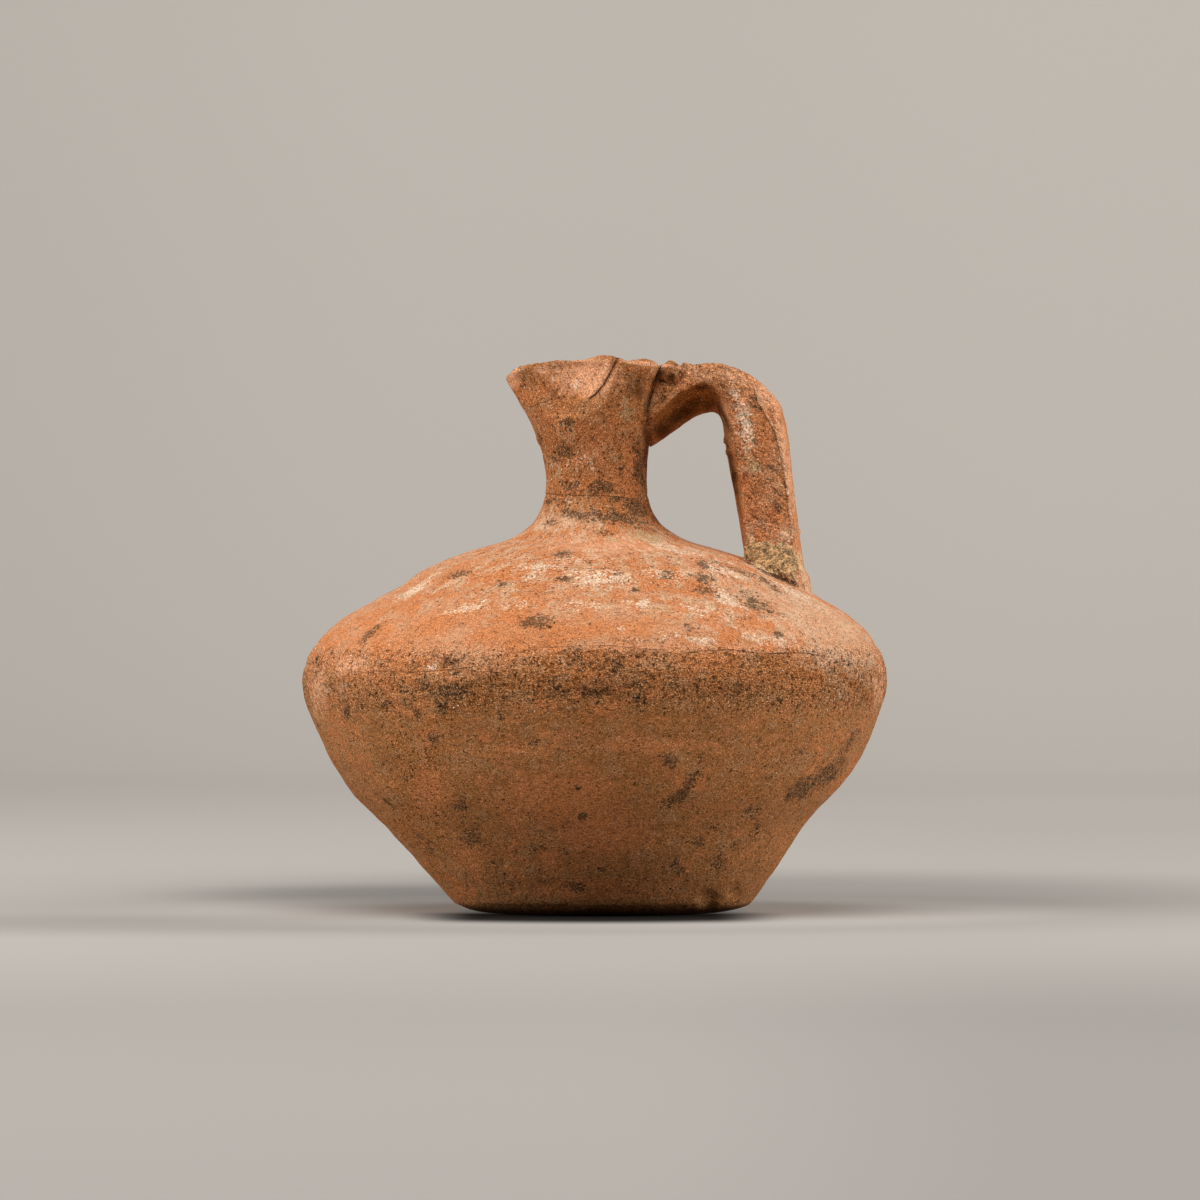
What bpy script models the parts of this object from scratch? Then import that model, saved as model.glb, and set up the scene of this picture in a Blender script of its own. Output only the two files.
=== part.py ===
"""Trefoil-rim jug: red earthenware thrown on the wheel, with a mouth pinched to three lobes and one handle.

The jug is one fired piece. It stands on Z = 0, with its spout towards -X and its handle towards +X.
Sizes are in metres and angles in degrees: slopes are from the horizontal, azimuths count from the handle.
"""

import math

import bmesh
import bpy
import numpy as np
from mathutils import Vector

# Underside: a flat disc, and a rounded edge that rises from it to the foot
STANDING_RADIUS = 0.040
UNDERSIDE_SLOPE = 6.0
FOOT_EDGE_SLOPE = 28.0

# Turned outline, from the foot up: radius, rise above the knot below, and the wall's slope
FOOT_RADIUS = 0.0492
FOOT_RISE = 0.0028
FOOT_SLOPE = 48.8
KNEE_RADIUS = 0.0764
KNEE_RISE = 0.0326
KNEE_SLOPE = 43.0
FLANK_RADIUS = 0.0903
FLANK_RISE = 0.0200
FLANK_SLOPE = 66.5
BELLY_RADIUS = 0.0971
BELLY_RISE = 0.0223
BELLY_SLOPE = 90.0
BROW_RADIUS = 0.0858
BROW_RISE = 0.0192
BROW_SLOPE = 141.7
SHOULDER_RADIUS = 0.0629
SHOULDER_RISE = 0.0140
SHOULDER_SLOPE = 141.2
COLLAR_RADIUS = 0.0446
COLLAR_RISE = 0.0081
COLLAR_SLOPE = 162.9
NECK_ROOT_RADIUS = 0.0228
NECK_ROOT_RISE = 0.0090
NECK_ROOT_SLOPE = 139.1
NECK_RADIUS = 0.0168
NECK_RISE = 0.0150
NECK_SLOPE = 90.0
MOUTH_RADIUS = 0.0300
MOUTH_RISE = 0.0337
MOUTH_SLOPE = 61.0

# How far the wet pot moved off its axis, towards the handle
FOOT_SHIFT = 0.0022
KNEE_SHIFT = -0.0003
SHOULDER_SHIFT = 0.0018
NECK_SHIFT = 0.0007

# Walls
FLOOR = 0.0080
FLOOR_CORNER = 0.0050
BELLY_WALL = 0.0052
NECK_WALL = 0.0044
LIP = 0.0033

# Mouth: the turned mouth is the spout, and the rest is drawn in from it and stands higher
SIDE_LOBE_RADIUS = 0.0245
HANDLE_SIDE_RADIUS = 0.0205
SIDE_LOBE_AZIMUTH = 52.0
SIDE_LOBE_RISE = 0.0048
HANDLE_SIDE_RISE = 0.0010

# Pinch: a scoop pressed into each side of the mouth, from its fold beside the side lobe to the spout
PINCH_FOLD_AZIMUTH = 72.0
PINCH_SPOUT_AZIMUTH = 162.0
PINCH_DEPTH = 0.0110
PINCH_HEIGHT = 0.0140

# Handle: a strap that leaves the rim, turns down at a bend and lands on the shoulder
HANDLE_AZIMUTH = -6.0
HANDLE_WIDTH = 0.0215
ROOT_THICKNESS = 0.0222
ROOT_DROP = 0.0150
ROOT_SLOPE = 27.0
STRAP_THICKNESS = 0.0108
STRAP_REACH = 0.0370
STRAP_DROP = 0.0058
STRAP_SLOPE = 4.0
STRAP_ROLL = 30.0
BEND_HEIGHT = 0.0152
LIMB_THICKNESS = 0.0206
LIMB_REACH = 0.0531
LIMB_ROLL = 8.0
HANDLE_FOOT_THICKNESS = 0.0188
HANDLE_FOOT_REACH = 0.0597
HANDLE_FOOT_FLARE = 0.0030
FLARE_HEIGHT = 0.0050
SECTION_SQUARENESS = 2.7

# Curl of clay left where the strap was pressed on the rim
CURL_SIZE = 0.0084
CURL_OUT = 0.0064
CURL_SINK = 0.0012
CURL_AZIMUTH = -26.0

# Facets
TURNS = 60
FACET_TURN = 7.0
FEWEST_FACETS = 3
MOUTH_FACETS = 9
INNER_SHARE = 0.55
FINE_SHARE = 8.0
EDGE_FACETS = 2
LIP_FACETS = 4
HANDLE_SIDES = 20
HANDLE_STEP = 0.0045
CURL_SIDES = 12
WELD = 0.00001

CLAY_COLOUR = (0.42, 0.165, 0.075, 1.0)
CLAY_ROUGHNESS = 0.88


def ease(value, low, high):
    """Smooth rise from 0 at low to 1 at high."""
    share = min(max((value - low) / (high - low), 0.0), 1.0)
    return share * share * (3.0 - 2.0 * share)


def bend(start, start_slope, end, end_slope, facets):
    """Points from start to end of a curve that leaves and arrives at the given slopes, bent like an arc."""
    start, end = np.array(start), np.array(end)
    leaving, arriving = math.radians(start_slope), math.radians(end_slope)
    half_turn = (arriving - leaving) / 2.0
    reach = 1.0 / 3.0
    if abs(half_turn) > 1e-4:
        reach = 2.0 / 3.0 * math.tan(half_turn / 2.0) / math.sin(half_turn)
    reach *= np.linalg.norm(end - start)
    after = start + reach * np.array([math.cos(leaving), math.sin(leaving)])
    before = end - reach * np.array([math.cos(arriving), math.sin(arriving)])
    along = np.linspace(0.0, 1.0, facets + 1)[:, None]
    back = 1.0 - along
    return back**3 * start + 3 * back**2 * along * after + 3 * back * along**2 * before + along**3 * end


def outline_knots():
    """The turned outline from the foot to the mouth: radius, level and slope at each knot."""
    knots = []
    level = 0.0
    for radius, rise, slope in (
        (FOOT_RADIUS, FOOT_RISE, FOOT_SLOPE),
        (KNEE_RADIUS, KNEE_RISE, KNEE_SLOPE),
        (FLANK_RADIUS, FLANK_RISE, FLANK_SLOPE),
        (BELLY_RADIUS, BELLY_RISE, BELLY_SLOPE),
        (BROW_RADIUS, BROW_RISE, BROW_SLOPE),
        (SHOULDER_RADIUS, SHOULDER_RISE, SHOULDER_SLOPE),
        (COLLAR_RADIUS, COLLAR_RISE, COLLAR_SLOPE),
        (NECK_ROOT_RADIUS, NECK_ROOT_RISE, NECK_ROOT_SLOPE),
        (NECK_RADIUS, NECK_RISE, NECK_SLOPE),
        (MOUTH_RADIUS, MOUTH_RISE, MOUTH_SLOPE),
    ):
        level += rise
        knots.append((radius, level, slope))
    return knots


KNOTS = outline_knots()
FOOT_LEVEL, KNEE_LEVEL, FLANK_LEVEL, BELLY_LEVEL = (level for _, level, _ in KNOTS[:4])
SHOULDER_LEVEL = KNOTS[5][1]
NECK_ROOT_LEVEL, NECK_LEVEL, MOUTH_LEVEL = (level for _, level, _ in KNOTS[7:])
RIM_LEVEL = MOUTH_LEVEL + LIP / 2.0 * (1.0 + math.cos(math.radians(MOUTH_SLOPE)))


def turned_wall(facet_share):
    """The outer wall's points and their outward normals, from the foot up to the mouth."""
    points = [np.array(KNOTS[0][:2])]
    for below, above in zip(KNOTS, KNOTS[1:]):
        facets = max(FEWEST_FACETS, abs(above[2] - below[2]) / FACET_TURN)
        if above is KNOTS[-1]:
            facets = MOUTH_FACETS
        steps = max(1, round(facets * facet_share))
        points.extend(bend(below[:2], below[2], above[:2], above[2], steps)[1:])
    points = np.array(points)
    along = np.gradient(points, axis=0)
    along /= np.linalg.norm(along, axis=1)[:, None]
    return points, np.column_stack([along[:, 1], -along[:, 0]])


FINE_WALL = turned_wall(FINE_SHARE)[0]


def radius_at(level):
    """The turned wall's outer radius at a level."""
    return float(np.interp(level, FINE_WALL[:, 1], FINE_WALL[:, 0]))


def shoulder_level(radius):
    """The level at which the shoulder, between the belly and the neck, has this radius."""
    above_belly = FINE_WALL[:, 1] >= BELLY_LEVEL
    below_neck = FINE_WALL[:, 1] <= NECK_LEVEL
    shoulder = FINE_WALL[above_belly & below_neck][::-1]
    return float(np.interp(radius, shoulder[:, 0], shoulder[:, 1]))


def wall_thickness(level):
    """The wall's thickness at a level: thickest at the belly, thinnest at the lip."""
    neck = ease(level, BELLY_LEVEL, NECK_ROOT_LEVEL)
    lip = ease(level, NECK_LEVEL, MOUTH_LEVEL)
    return BELLY_WALL + (NECK_WALL - BELLY_WALL) * neck + (LIP - NECK_WALL) * lip


def inner_wall(depth_share):
    """The wall's points pushed in by a share of its thickness, from the floor's corner up to the mouth."""
    points, normals = turned_wall(INNER_SHARE)
    depth = np.array([depth_share * wall_thickness(level) for level in points[:, 1]])
    points = points - normals * depth[:, None]
    corner = depth_share * (FLOOR + FLOOR_CORNER)
    first = (np.interp(corner, points[:, 1], points[:, 0]), corner)
    return np.vstack([first, points[points[:, 1] > corner]])


def jug_profile():
    """The closed wall, from the middle of the floor up inside, over the lip, down outside and underneath."""
    outer, normals = turned_wall(1.0)
    inner = inner_wall(1.0)
    profile = [(0.0, FLOOR), (inner[0][0] - FLOOR_CORNER, FLOOR)]
    profile.extend(map(tuple, inner[:-1]))
    out = normals[-1]
    up = np.array([-out[1], out[0]])
    middle = outer[-1] - out * LIP / 2.0
    for facet in range(LIP_FACETS + 1):
        turn = math.pi * facet / LIP_FACETS
        profile.append(tuple(middle - out * math.cos(turn) * LIP / 2.0 + up * math.sin(turn) * LIP / 2.0))
    profile.extend(map(tuple, outer[-2:0:-1]))
    edge = bend((STANDING_RADIUS, 0.0), UNDERSIDE_SLOPE, outer[0], FOOT_EDGE_SLOPE, EDGE_FACETS)
    profile.extend(map(tuple, edge[::-1]))
    profile.append((0.0, 0.0))
    return profile


def core_profile():
    """The middle of the wall, closed above the mouth: what the handle's clay may not pass."""
    wall = inner_wall(0.5)
    above = MOUTH_LEVEL + MOUTH_RISE
    profile = [(0.0, above), (wall[-1][0], above)]
    profile.extend(map(tuple, wall[::-1]))
    profile.append((0.0, FLOOR / 2.0))
    return profile


def pinch_depth(azimuth, below_rim):
    """How deep the scoop is: a fold beside the side lobe, fading out towards the spout and downwards."""
    share = (azimuth - PINCH_FOLD_AZIMUTH) / (PINCH_SPOUT_AZIMUTH - PINCH_FOLD_AZIMUTH)
    if not 0.0 < share < 1.0:
        return 0.0
    bottom = PINCH_HEIGHT * math.sqrt(4.0 * share * (1.0 - share))
    return PINCH_DEPTH * math.sin(math.pi * share) ** (1.0 + share) * max(0.0, 1.0 - below_rim / bottom)


def shape_mouth(radius, azimuth, level):
    """Moves a turned point to its place on the trefoil mouth."""
    if level <= NECK_LEVEL:
        return radius, level
    azimuth = abs(azimuth)
    height = min(level, MOUTH_LEVEL)
    flare = (radius_at(height) - NECK_RADIUS) / (MOUTH_RADIUS - NECK_RADIUS)
    lobe = 1.0 - ease(azimuth, SIDE_LOBE_AZIMUTH, 180.0)
    handle_side = 1.0 - ease(azimuth, 0.0, SIDE_LOBE_AZIMUTH)
    drawn_in = (MOUTH_RADIUS - SIDE_LOBE_RADIUS) * lobe
    drawn_in += (SIDE_LOBE_RADIUS - HANDLE_SIDE_RADIUS) * handle_side
    radius -= drawn_in * flare + pinch_depth(azimuth, MOUTH_LEVEL - height)
    rise = HANDLE_SIDE_RISE + (SIDE_LOBE_RISE - HANDLE_SIDE_RISE) * ease(azimuth, 0.0, 90.0)
    rise *= 1.0 - ease(azimuth, (SIDE_LOBE_AZIMUTH + 180.0) / 2.0, 180.0)
    return radius, level + rise * ease(height, MOUTH_LEVEL - PINCH_HEIGHT, MOUTH_LEVEL)


def shift_at(level):
    """How far the axis has moved towards the handle at a level."""
    above_foot = ease(level, FOOT_LEVEL, KNEE_LEVEL)
    foot = FOOT_SHIFT * (1.0 - above_foot)
    knee = KNEE_SHIFT * above_foot * (1.0 - ease(level, KNEE_LEVEL, FLANK_LEVEL))
    neck_share = ease(level, SHOULDER_LEVEL, NECK_ROOT_LEVEL)
    swell = SHOULDER_SHIFT * ease(level, BELLY_LEVEL, SHOULDER_LEVEL) * (1.0 - neck_share)
    return foot + knee + swell + NECK_SHIFT * neck_share


def pot_point(point):
    """The turned point as it stands on the finished jug."""
    radius, azimuth = math.hypot(point.x, point.y), math.atan2(point.y, point.x)
    radius, level = shape_mouth(radius, math.degrees(azimuth), point.z)
    return Vector((radius * math.cos(azimuth) + shift_at(point.z), radius * math.sin(azimuth), level))


def thrown_mesh(name, profile, collection):
    """The mesh of a shape thrown on the wheel: its profile turned round the axis."""
    ends = [(index, index + 1) for index in range(len(profile) - 1)]
    outline = bpy.data.meshes.new(name + "_profile")
    outline.from_pydata([(radius, 0.0, level) for radius, level in profile], ends, [])
    wheel = bpy.data.objects.new(name + "_profile", outline)
    collection.objects.link(wheel)
    screw = wheel.modifiers.new("wheel", "SCREW")
    screw.steps = TURNS
    screw.render_steps = TURNS
    screw.use_merge_vertices = True
    screw.merge_threshold = WELD
    bpy.context.view_layer.update()
    mesh = bpy.data.meshes.new_from_object(wheel.evaluated_get(bpy.context.evaluated_depsgraph_get()))
    bpy.data.objects.remove(wheel)
    mesh.name = name
    return mesh


def turned(name, profile, collection):
    """A thrown shape, moved and pinched as the wet pot was."""
    mesh = thrown_mesh(name, profile, collection)
    for vertex in mesh.vertices:
        vertex.co = pot_point(vertex.co)
    pot = bpy.data.objects.new(name, mesh)
    collection.objects.link(pot)
    return pot


def handle_path():
    """The strap's middle line as reach and level, and the index where each run ends."""
    rim = RIM_LEVEL + HANDLE_SIDE_RISE
    root = np.array([NECK_RADIUS - NECK_WALL, rim - ROOT_DROP])
    strap = np.array([STRAP_REACH, rim - STRAP_DROP])
    limb = np.array([LIMB_REACH, strap[1] - BEND_HEIGHT])
    foot = np.array([HANDLE_FOOT_REACH, shoulder_level(HANDLE_FOOT_REACH)])
    down = (foot - limb) / np.linalg.norm(foot - limb)
    limb_slope = math.degrees(math.atan2(down[1], down[0]))
    sunk = foot + down * LIMB_THICKNESS
    points = [root]
    marks = [0]
    for start, start_slope, end, end_slope in (
        (root, ROOT_SLOPE, strap, STRAP_SLOPE),
        (strap, STRAP_SLOPE, limb, limb_slope),
        (limb, limb_slope, foot, limb_slope),
        (foot, limb_slope, sunk, limb_slope),
    ):
        facets = max(FEWEST_FACETS, round(math.dist(start, end) / HANDLE_STEP))
        points.extend(bend(start, start_slope, end, end_slope, facets)[1:])
        marks.append(len(points) - 1)
    return np.array(points), marks


def handle_section(index, level, marks, foot_level):
    """Width, thickness and roll of the strap at a point of its path."""
    to_strap = ease(index, marks[0], marks[1])
    to_limb = ease(index, marks[1], marks[2])
    to_foot = ease(index, marks[2], marks[3])
    flare = HANDLE_FOOT_FLARE * (1.0 - ease(level, foot_level - FLARE_HEIGHT, foot_level))
    thickness = ROOT_THICKNESS + (STRAP_THICKNESS - ROOT_THICKNESS) * to_strap
    thickness += (LIMB_THICKNESS - STRAP_THICKNESS) * to_limb
    thickness += (HANDLE_FOOT_THICKNESS - LIMB_THICKNESS) * to_foot
    roll = STRAP_ROLL + (LIMB_ROLL - STRAP_ROLL) * to_limb
    return HANDLE_WIDTH + flare, thickness + flare, math.radians(roll)


def section_point(angle):
    """A point of the strap's rounded, squarish section, which fits a square two units wide."""
    power = 2.0 / SECTION_SQUARENESS
    across = math.copysign(abs(math.cos(angle)) ** power, math.cos(angle))
    return across, math.copysign(abs(math.sin(angle)) ** power, math.sin(angle))


def handle_rings(form):
    """The sections of the strap along its path, as rings of new vertices."""
    path, marks = handle_path()
    runs = np.gradient(path, axis=0)
    turn = math.radians(HANDLE_AZIMUTH)
    outward = Vector((math.cos(turn), math.sin(turn), 0.0))
    sideways = Vector((math.sin(turn), -math.cos(turn), 0.0))
    rings = []
    for index, (reach, level) in enumerate(path):
        run = runs[index] / np.linalg.norm(runs[index])
        normal = outward * -run[1] + Vector((0.0, 0.0, run[0]))
        width, thickness, roll = handle_section(index, level, marks, path[marks[3]][1])
        side = (sideways * math.cos(roll) + normal * math.sin(roll)) * width / 2.0
        face = (normal * math.cos(roll) - sideways * math.sin(roll)) * thickness / 2.0
        centre = outward * reach + Vector((NECK_SHIFT, 0.0, level))
        ring = []
        for step in range(HANDLE_SIDES):
            across, through = section_point(math.tau * step / HANDLE_SIDES)
            ring.append(form.verts.new(centre + side * across + face * through))
        rings.append(ring)
    return rings


def handle_strap(collection):
    """The handle's clay as a loft through sections that change in width, thickness and roll."""
    form = bmesh.new()
    rings = handle_rings(form)
    for near, far in zip(rings, rings[1:]):
        for step in range(HANDLE_SIDES):
            following = (step + 1) % HANDLE_SIDES
            form.faces.new((near[step], near[following], far[following], far[step]))
    form.faces.new(rings[0][::-1])
    form.faces.new(rings[-1])
    bmesh.ops.recalc_face_normals(form, faces=form.faces)
    return object_from(form, "handle_strap", collection)


def root_curl(collection):
    """The curl of clay beside the handle's root, half sunk in it."""
    form = bmesh.new()
    radius = CURL_SIZE / 2.0
    bmesh.ops.create_uvsphere(form, u_segments=CURL_SIDES, v_segments=CURL_SIDES // 2, radius=radius)
    azimuth = math.radians(CURL_AZIMUTH)
    reach = HANDLE_SIDE_RADIUS + CURL_OUT
    level = RIM_LEVEL + HANDLE_SIDE_RISE - CURL_SINK
    place = Vector((reach * math.cos(azimuth) + NECK_SHIFT, reach * math.sin(azimuth), level))
    bmesh.ops.translate(form, vec=place, verts=form.verts)
    return object_from(form, "root_curl", collection)


def object_from(form, name, collection):
    """An object that holds the finished form."""
    mesh = bpy.data.meshes.new(name)
    form.to_mesh(mesh)
    form.free()
    made = bpy.data.objects.new(name, mesh)
    collection.objects.link(made)
    return made


def combine(target, other, operation):
    """Joins the other object to the target, or cuts it away."""
    boolean = target.modifiers.new(operation.lower() + "_" + other.name, "BOOLEAN")
    boolean.operation = operation
    boolean.solver = "EXACT"
    boolean.object = other


def as_helper(helper):
    """Leaves a shape that only forms another one out of the render."""
    helper.hide_render = True
    helper.display_type = "WIRE"


def earthenware():
    """Unglazed red clay."""
    material = bpy.data.materials.new("red_earthenware")
    material.use_nodes = True
    shader = material.node_tree.nodes["Principled BSDF"]
    shader.inputs["Base Color"].default_value = CLAY_COLOUR
    shader.inputs["Roughness"].default_value = CLAY_ROUGHNESS
    shader.inputs["Metallic"].default_value = 0.0
    material.diffuse_color = CLAY_COLOUR
    return material


def new_collection(name):
    collection = bpy.data.collections.new(name)
    bpy.context.scene.collection.children.link(collection)
    return collection


def main():
    for old in list(bpy.data.objects):
        bpy.data.objects.remove(old)
    parts = new_collection("trefoil_rim_jug")
    helpers = new_collection("shaping")
    jug = turned("jug", jug_profile(), parts)
    core = turned("wall_core", core_profile(), helpers)
    for clay in (handle_strap(helpers), root_curl(helpers)):
        combine(clay, core, "DIFFERENCE")
        combine(jug, clay, "UNION")
        as_helper(clay)
    as_helper(core)
    jug.data.materials.clear()
    jug.data.materials.append(earthenware())
    jug.data.shade_smooth()


main()
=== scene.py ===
"""Trefoil-rim jug: the looks of a wheel-thrown jug of red earthenware, worn, pitted and stained by burial.

The jug stands on Z = 0 with its spout towards -X and its handle towards +X, and shows its -Y side.
Sizes are in metres and angles in degrees: slopes are from the horizontal, azimuths count from the handle.
"""

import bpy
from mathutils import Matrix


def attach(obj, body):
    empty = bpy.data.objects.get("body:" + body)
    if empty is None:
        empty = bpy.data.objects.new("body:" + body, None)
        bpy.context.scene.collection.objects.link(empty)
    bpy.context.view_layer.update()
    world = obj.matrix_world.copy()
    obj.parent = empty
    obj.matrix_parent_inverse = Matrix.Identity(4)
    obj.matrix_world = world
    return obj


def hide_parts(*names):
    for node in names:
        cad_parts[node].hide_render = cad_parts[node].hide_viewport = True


bl_info = {
    "name": "Trefoil-Rim Jug",
    "version": (1, 0, 0),
    "blender": (4, 5, 0),
    "location": "View3D > Sidebar > Jug",
    "description": "Makes a worn earthenware jug with a pinched mouth around its fixed frame",
    "category": "Add Mesh",
}

import math
from types import SimpleNamespace

import bmesh
import bpy
import numpy as np
from mathutils import Vector

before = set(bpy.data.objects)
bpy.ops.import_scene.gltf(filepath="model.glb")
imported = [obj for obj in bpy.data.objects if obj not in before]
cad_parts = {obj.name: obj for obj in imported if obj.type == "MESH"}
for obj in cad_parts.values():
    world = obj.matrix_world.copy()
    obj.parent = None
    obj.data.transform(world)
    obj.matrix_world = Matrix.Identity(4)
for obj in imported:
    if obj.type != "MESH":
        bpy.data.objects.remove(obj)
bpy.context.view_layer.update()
BODY = "root"
FRAME_NODE = "jug"

# Underside: a flat disc, and a rounded edge that rises from it to the foot
STANDING_RADIUS = 0.040
UNDERSIDE_SLOPE = 6.0
FOOT_EDGE_SLOPE = 28.0

# Turned outline, as the frame has it, from the foot up: radius, rise above the knot below, slope
FOOT = (0.0492, 0.0028, 48.8)
KNEE = (0.0764, 0.0326, 43.0)
FLANK = (0.0903, 0.0200, 66.5)
BELLY = (0.0971, 0.0223, 90.0)
BROW = (0.0858, 0.0192, 141.7)
SHOULDER = (0.0629, 0.0140, 141.2)
COLLAR = (0.0446, 0.0081, 162.9)
NECK_ROOT = (0.0228, 0.0090, 139.1)
NECK = (0.0168, 0.0150, 90.0)
MOUTH = (0.0300, 0.0337, 61.0)

# How far the wet pot moved off its axis, towards the handle
FOOT_SHIFT = 0.0022
KNEE_SHIFT = -0.0003
SHOULDER_SHIFT = 0.0018
NECK_SHIFT = 0.0007

# Walls
FLOOR = 0.0080
FLOOR_CORNER = 0.0050
BELLY_WALL = 0.0052
NECK_WALL = 0.0044
LIP = 0.0033

# Mouth: the turned mouth is the spout, and the rest is drawn in from it and stands higher
SIDE_LOBE_RADIUS = 0.0245
HANDLE_SIDE_RADIUS = 0.0205
SIDE_LOBE_AZIMUTH = 52.0
SIDE_LOBE_RISE = 0.0048
HANDLE_SIDE_RISE = 0.0010

# Pinch: a scoop pressed into each side of the mouth
PINCH_FOLD_AZIMUTH = 72.0
PINCH_SPOUT_AZIMUTH = 162.0
PINCH_DEPTH = 0.0110
PINCH_HEIGHT = 0.0140

# Handle: a strap that leaves the rim, turns down at a bend and lands on the shoulder
HANDLE_AZIMUTH = -6.0
HANDLE_WIDTH = 0.0215
ROOT_THICKNESS = 0.0222
ROOT_DROP = 0.0150
ROOT_SLOPE = 27.0
STRAP_THICKNESS = 0.0108
STRAP_REACH = 0.0370
STRAP_DROP = 0.0058
STRAP_SLOPE = 4.0
STRAP_ROLL = 30.0
BEND_HEIGHT = 0.0152
LIMB_THICKNESS = 0.0206
LIMB_REACH = 0.0531
LIMB_ROLL = 8.0
HANDLE_FOOT_THICKNESS = 0.0188
HANDLE_FOOT_REACH = 0.0597
HANDLE_FOOT_FLARE = 0.0030
FLARE_HEIGHT = 0.0050
LANDING_SMOOTHINGS = 10
SECTION_SQUARENESS = 2.7

# Curl of clay left where the strap was pressed on the rim
CURL_SIZE = 0.0084
CURL_OUT = 0.0064
CURL_SINK = 0.0012
CURL_AZIMUTH = -26.0
CURL_HOLLOW = 0.0024
CURL_HOLLOW_AT = (-0.25, -0.30)
CURL_HOLLOW_FLAT = 0.7
CURL_FLATNESS = 0.86
CURL_WAVE = 0.14

# Fineness of the skin before it is thinned
OUTER_ROW = 0.0008
INNER_ROW = 0.0030
LIP_FACETS = 10
HANDLE_ROW = 0.0009
HANDLE_SIDES = 84
CURL_SIDES = 40
WELD = 0.00001

# Millimetres in a metre
MILLIMETRES = 1000.0

# View: the camera stands a little above the belly's middle and looks slightly up
PHOTO_PIXELS = 1200
CAMERA_EYE = Vector((0.0017, -2.300, 0.087))
CAMERA_AIM = Vector((0.0017, 0.0, 0.1037))
FIELD = 0.400
SENSOR = 0.036
CLIP = (0.1, 20.0)

# Studio: a round floor, and a wall that rises from it in a wide bend
FLOOR_RADIUS = 2.7
SWEEP_BEND = 0.6
SWEEP_HEIGHT = 2.6
SWEEP_SIDES = 128
BEND_FACETS = 16
SWEEP_WELD = 0.0001

# Lights: name, place, side of the square, and the setting that holds the power
LIGHTS = (
    ("overhead_light", (-0.24, -0.58, 1.48), 1.4, "key"),
    ("left_fill", (-1.7, -0.2, 0.35), 0.9, "left"),
    ("right_fill", (1.7, -0.1, 0.35), 0.9, "right"),
)
AIR_COLOUR = (1.0, 0.98, 0.95)

# Soft shadows painted on the paper: middle, half sizes, share of them that is darkest, and how dark
SHADES = (
    ((0.05, 0.18), (0.27, 0.32), 0.3, 0.28),
    ((-0.07, 0.16), (0.11, 0.15), 0.2, 0.34),
    ((-0.10, -0.11), (0.34, 0.12), 0.2, 0.20),
)
# How dark the painted contact shadow just in front of the foot is
SHADE_UNDER_FOOT = 0.95

# Light painted on the paper as a glow of its own: how far from the jug each part starts and is full, and its
# strength
GLOWS = (
    (0.05, 0.6, 0.40),
    (0.2, 1.2, 0.45),
    (1.0, 1.8, 0.12),
    (1.8, FLOOR_RADIUS + SWEEP_BEND, 0.18),
)

# Wheel lines that run all the way round: level, width and depth
WHEEL_LINES = (
    (0.0890, 0.0011, 0.00040),
    (0.0820, 0.0010, 0.00030),
    (0.1155, 0.0009, 0.00018),
    (0.1385, 0.0009, 0.00025),
    (0.1440, 0.0008, 0.00012),
)

# Creases on the near side: their run in the view's pixels, then width and depth in metres
FOLD_CRACK = ((620, 350), (617, 359), (612, 370), (603, 386), (596, 394), (588, 400))
ROOT_CREASE = ((660, 366), (658, 374), (655, 384), (651, 395), (648, 407), (648, 430))
FOOT_CREVICE = ((740, 558), (747, 561), (760, 568), (776, 575), (792, 582), (797, 586))
CREASES = (
    (FOLD_CRACK, 0.0016, 0.0008),
    (ROOT_CREASE, 0.0018, 0.0010),
    (FOOT_CREVICE, 0.0020, 0.0012),
)

# Step that the clay makes beside the fold's crack
FOLD_STEP = 0.0007
FOLD_STEP_WIDTH = 0.0032

# Worn edge of the foot on the near side, and the height over which wear and the painted shade under the foot
# begin above the floor
WORN_EDGE_LEVEL = 0.0040
WORN_EDGE_DEPTH = 0.0007
WORN_EDGE_FALL = 0.0012
WORN_EDGE_START = 0.0016
WORN_EDGE_NEAR = (0.020, 0.040)
STANDING_FALL = 0.0022
FOOT_SHADE = 0.0030

# Levels over which the wall's coarse band begins and ends, and over which the lower wall's wear ends
COARSE_FROM = (0.064, 0.072)
COARSE_UP_TO = (0.086, 0.090)
LOWER_WALL = (0.060, 0.075)

# Levels between which each finish of the wall comes in, from none of it to all of it
BROWN_WALL = (0.088, 0.072)
UPPER_WALL = (0.086, 0.100)
SHOULDER_TOP = (0.099, 0.107)
BELOW_NECK = (0.134, 0.124)
# The warm brown that the next two levels lay on the neck is partly painted shade
NECK_FILM = (0.126, 0.136)
NECK_WARMTH = (0.118, 0.132)
FLANK_PITS = (0.080, 0.070)
STAIN_PITS = (0.095, 0.085)
BELOW_RIM = (0.166, 0.152)

# How far to the side the denser pits of the flanks come in
FLANKS = (0.015, 0.060)

# Pits where temper fell out: how far apart, radius, and the share of the places that have one
SMALL_PITS = (0.0042, 0.0010, 0.30)
LARGE_PITS = (0.0085, 0.0019, 0.14)
PIN_PITS = (0.0016, 0.0007, 0.35)

# Loose grains: clouds of unevenness to a metre, and how muddy, how little inside and how worn a place
# has to be to hold them
LUMP_NOISE = 1500.0
MUDDY_FROM = 0.2
OUTSIDE_UP_TO = 0.1
GRITTY_FROM = 0.3

# Fine relief of the material, and how the tears on the handle run along X and Z
BUMP_DEPTH = 0.00065
TEAR_RUN = (0.906, -0.423)
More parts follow.
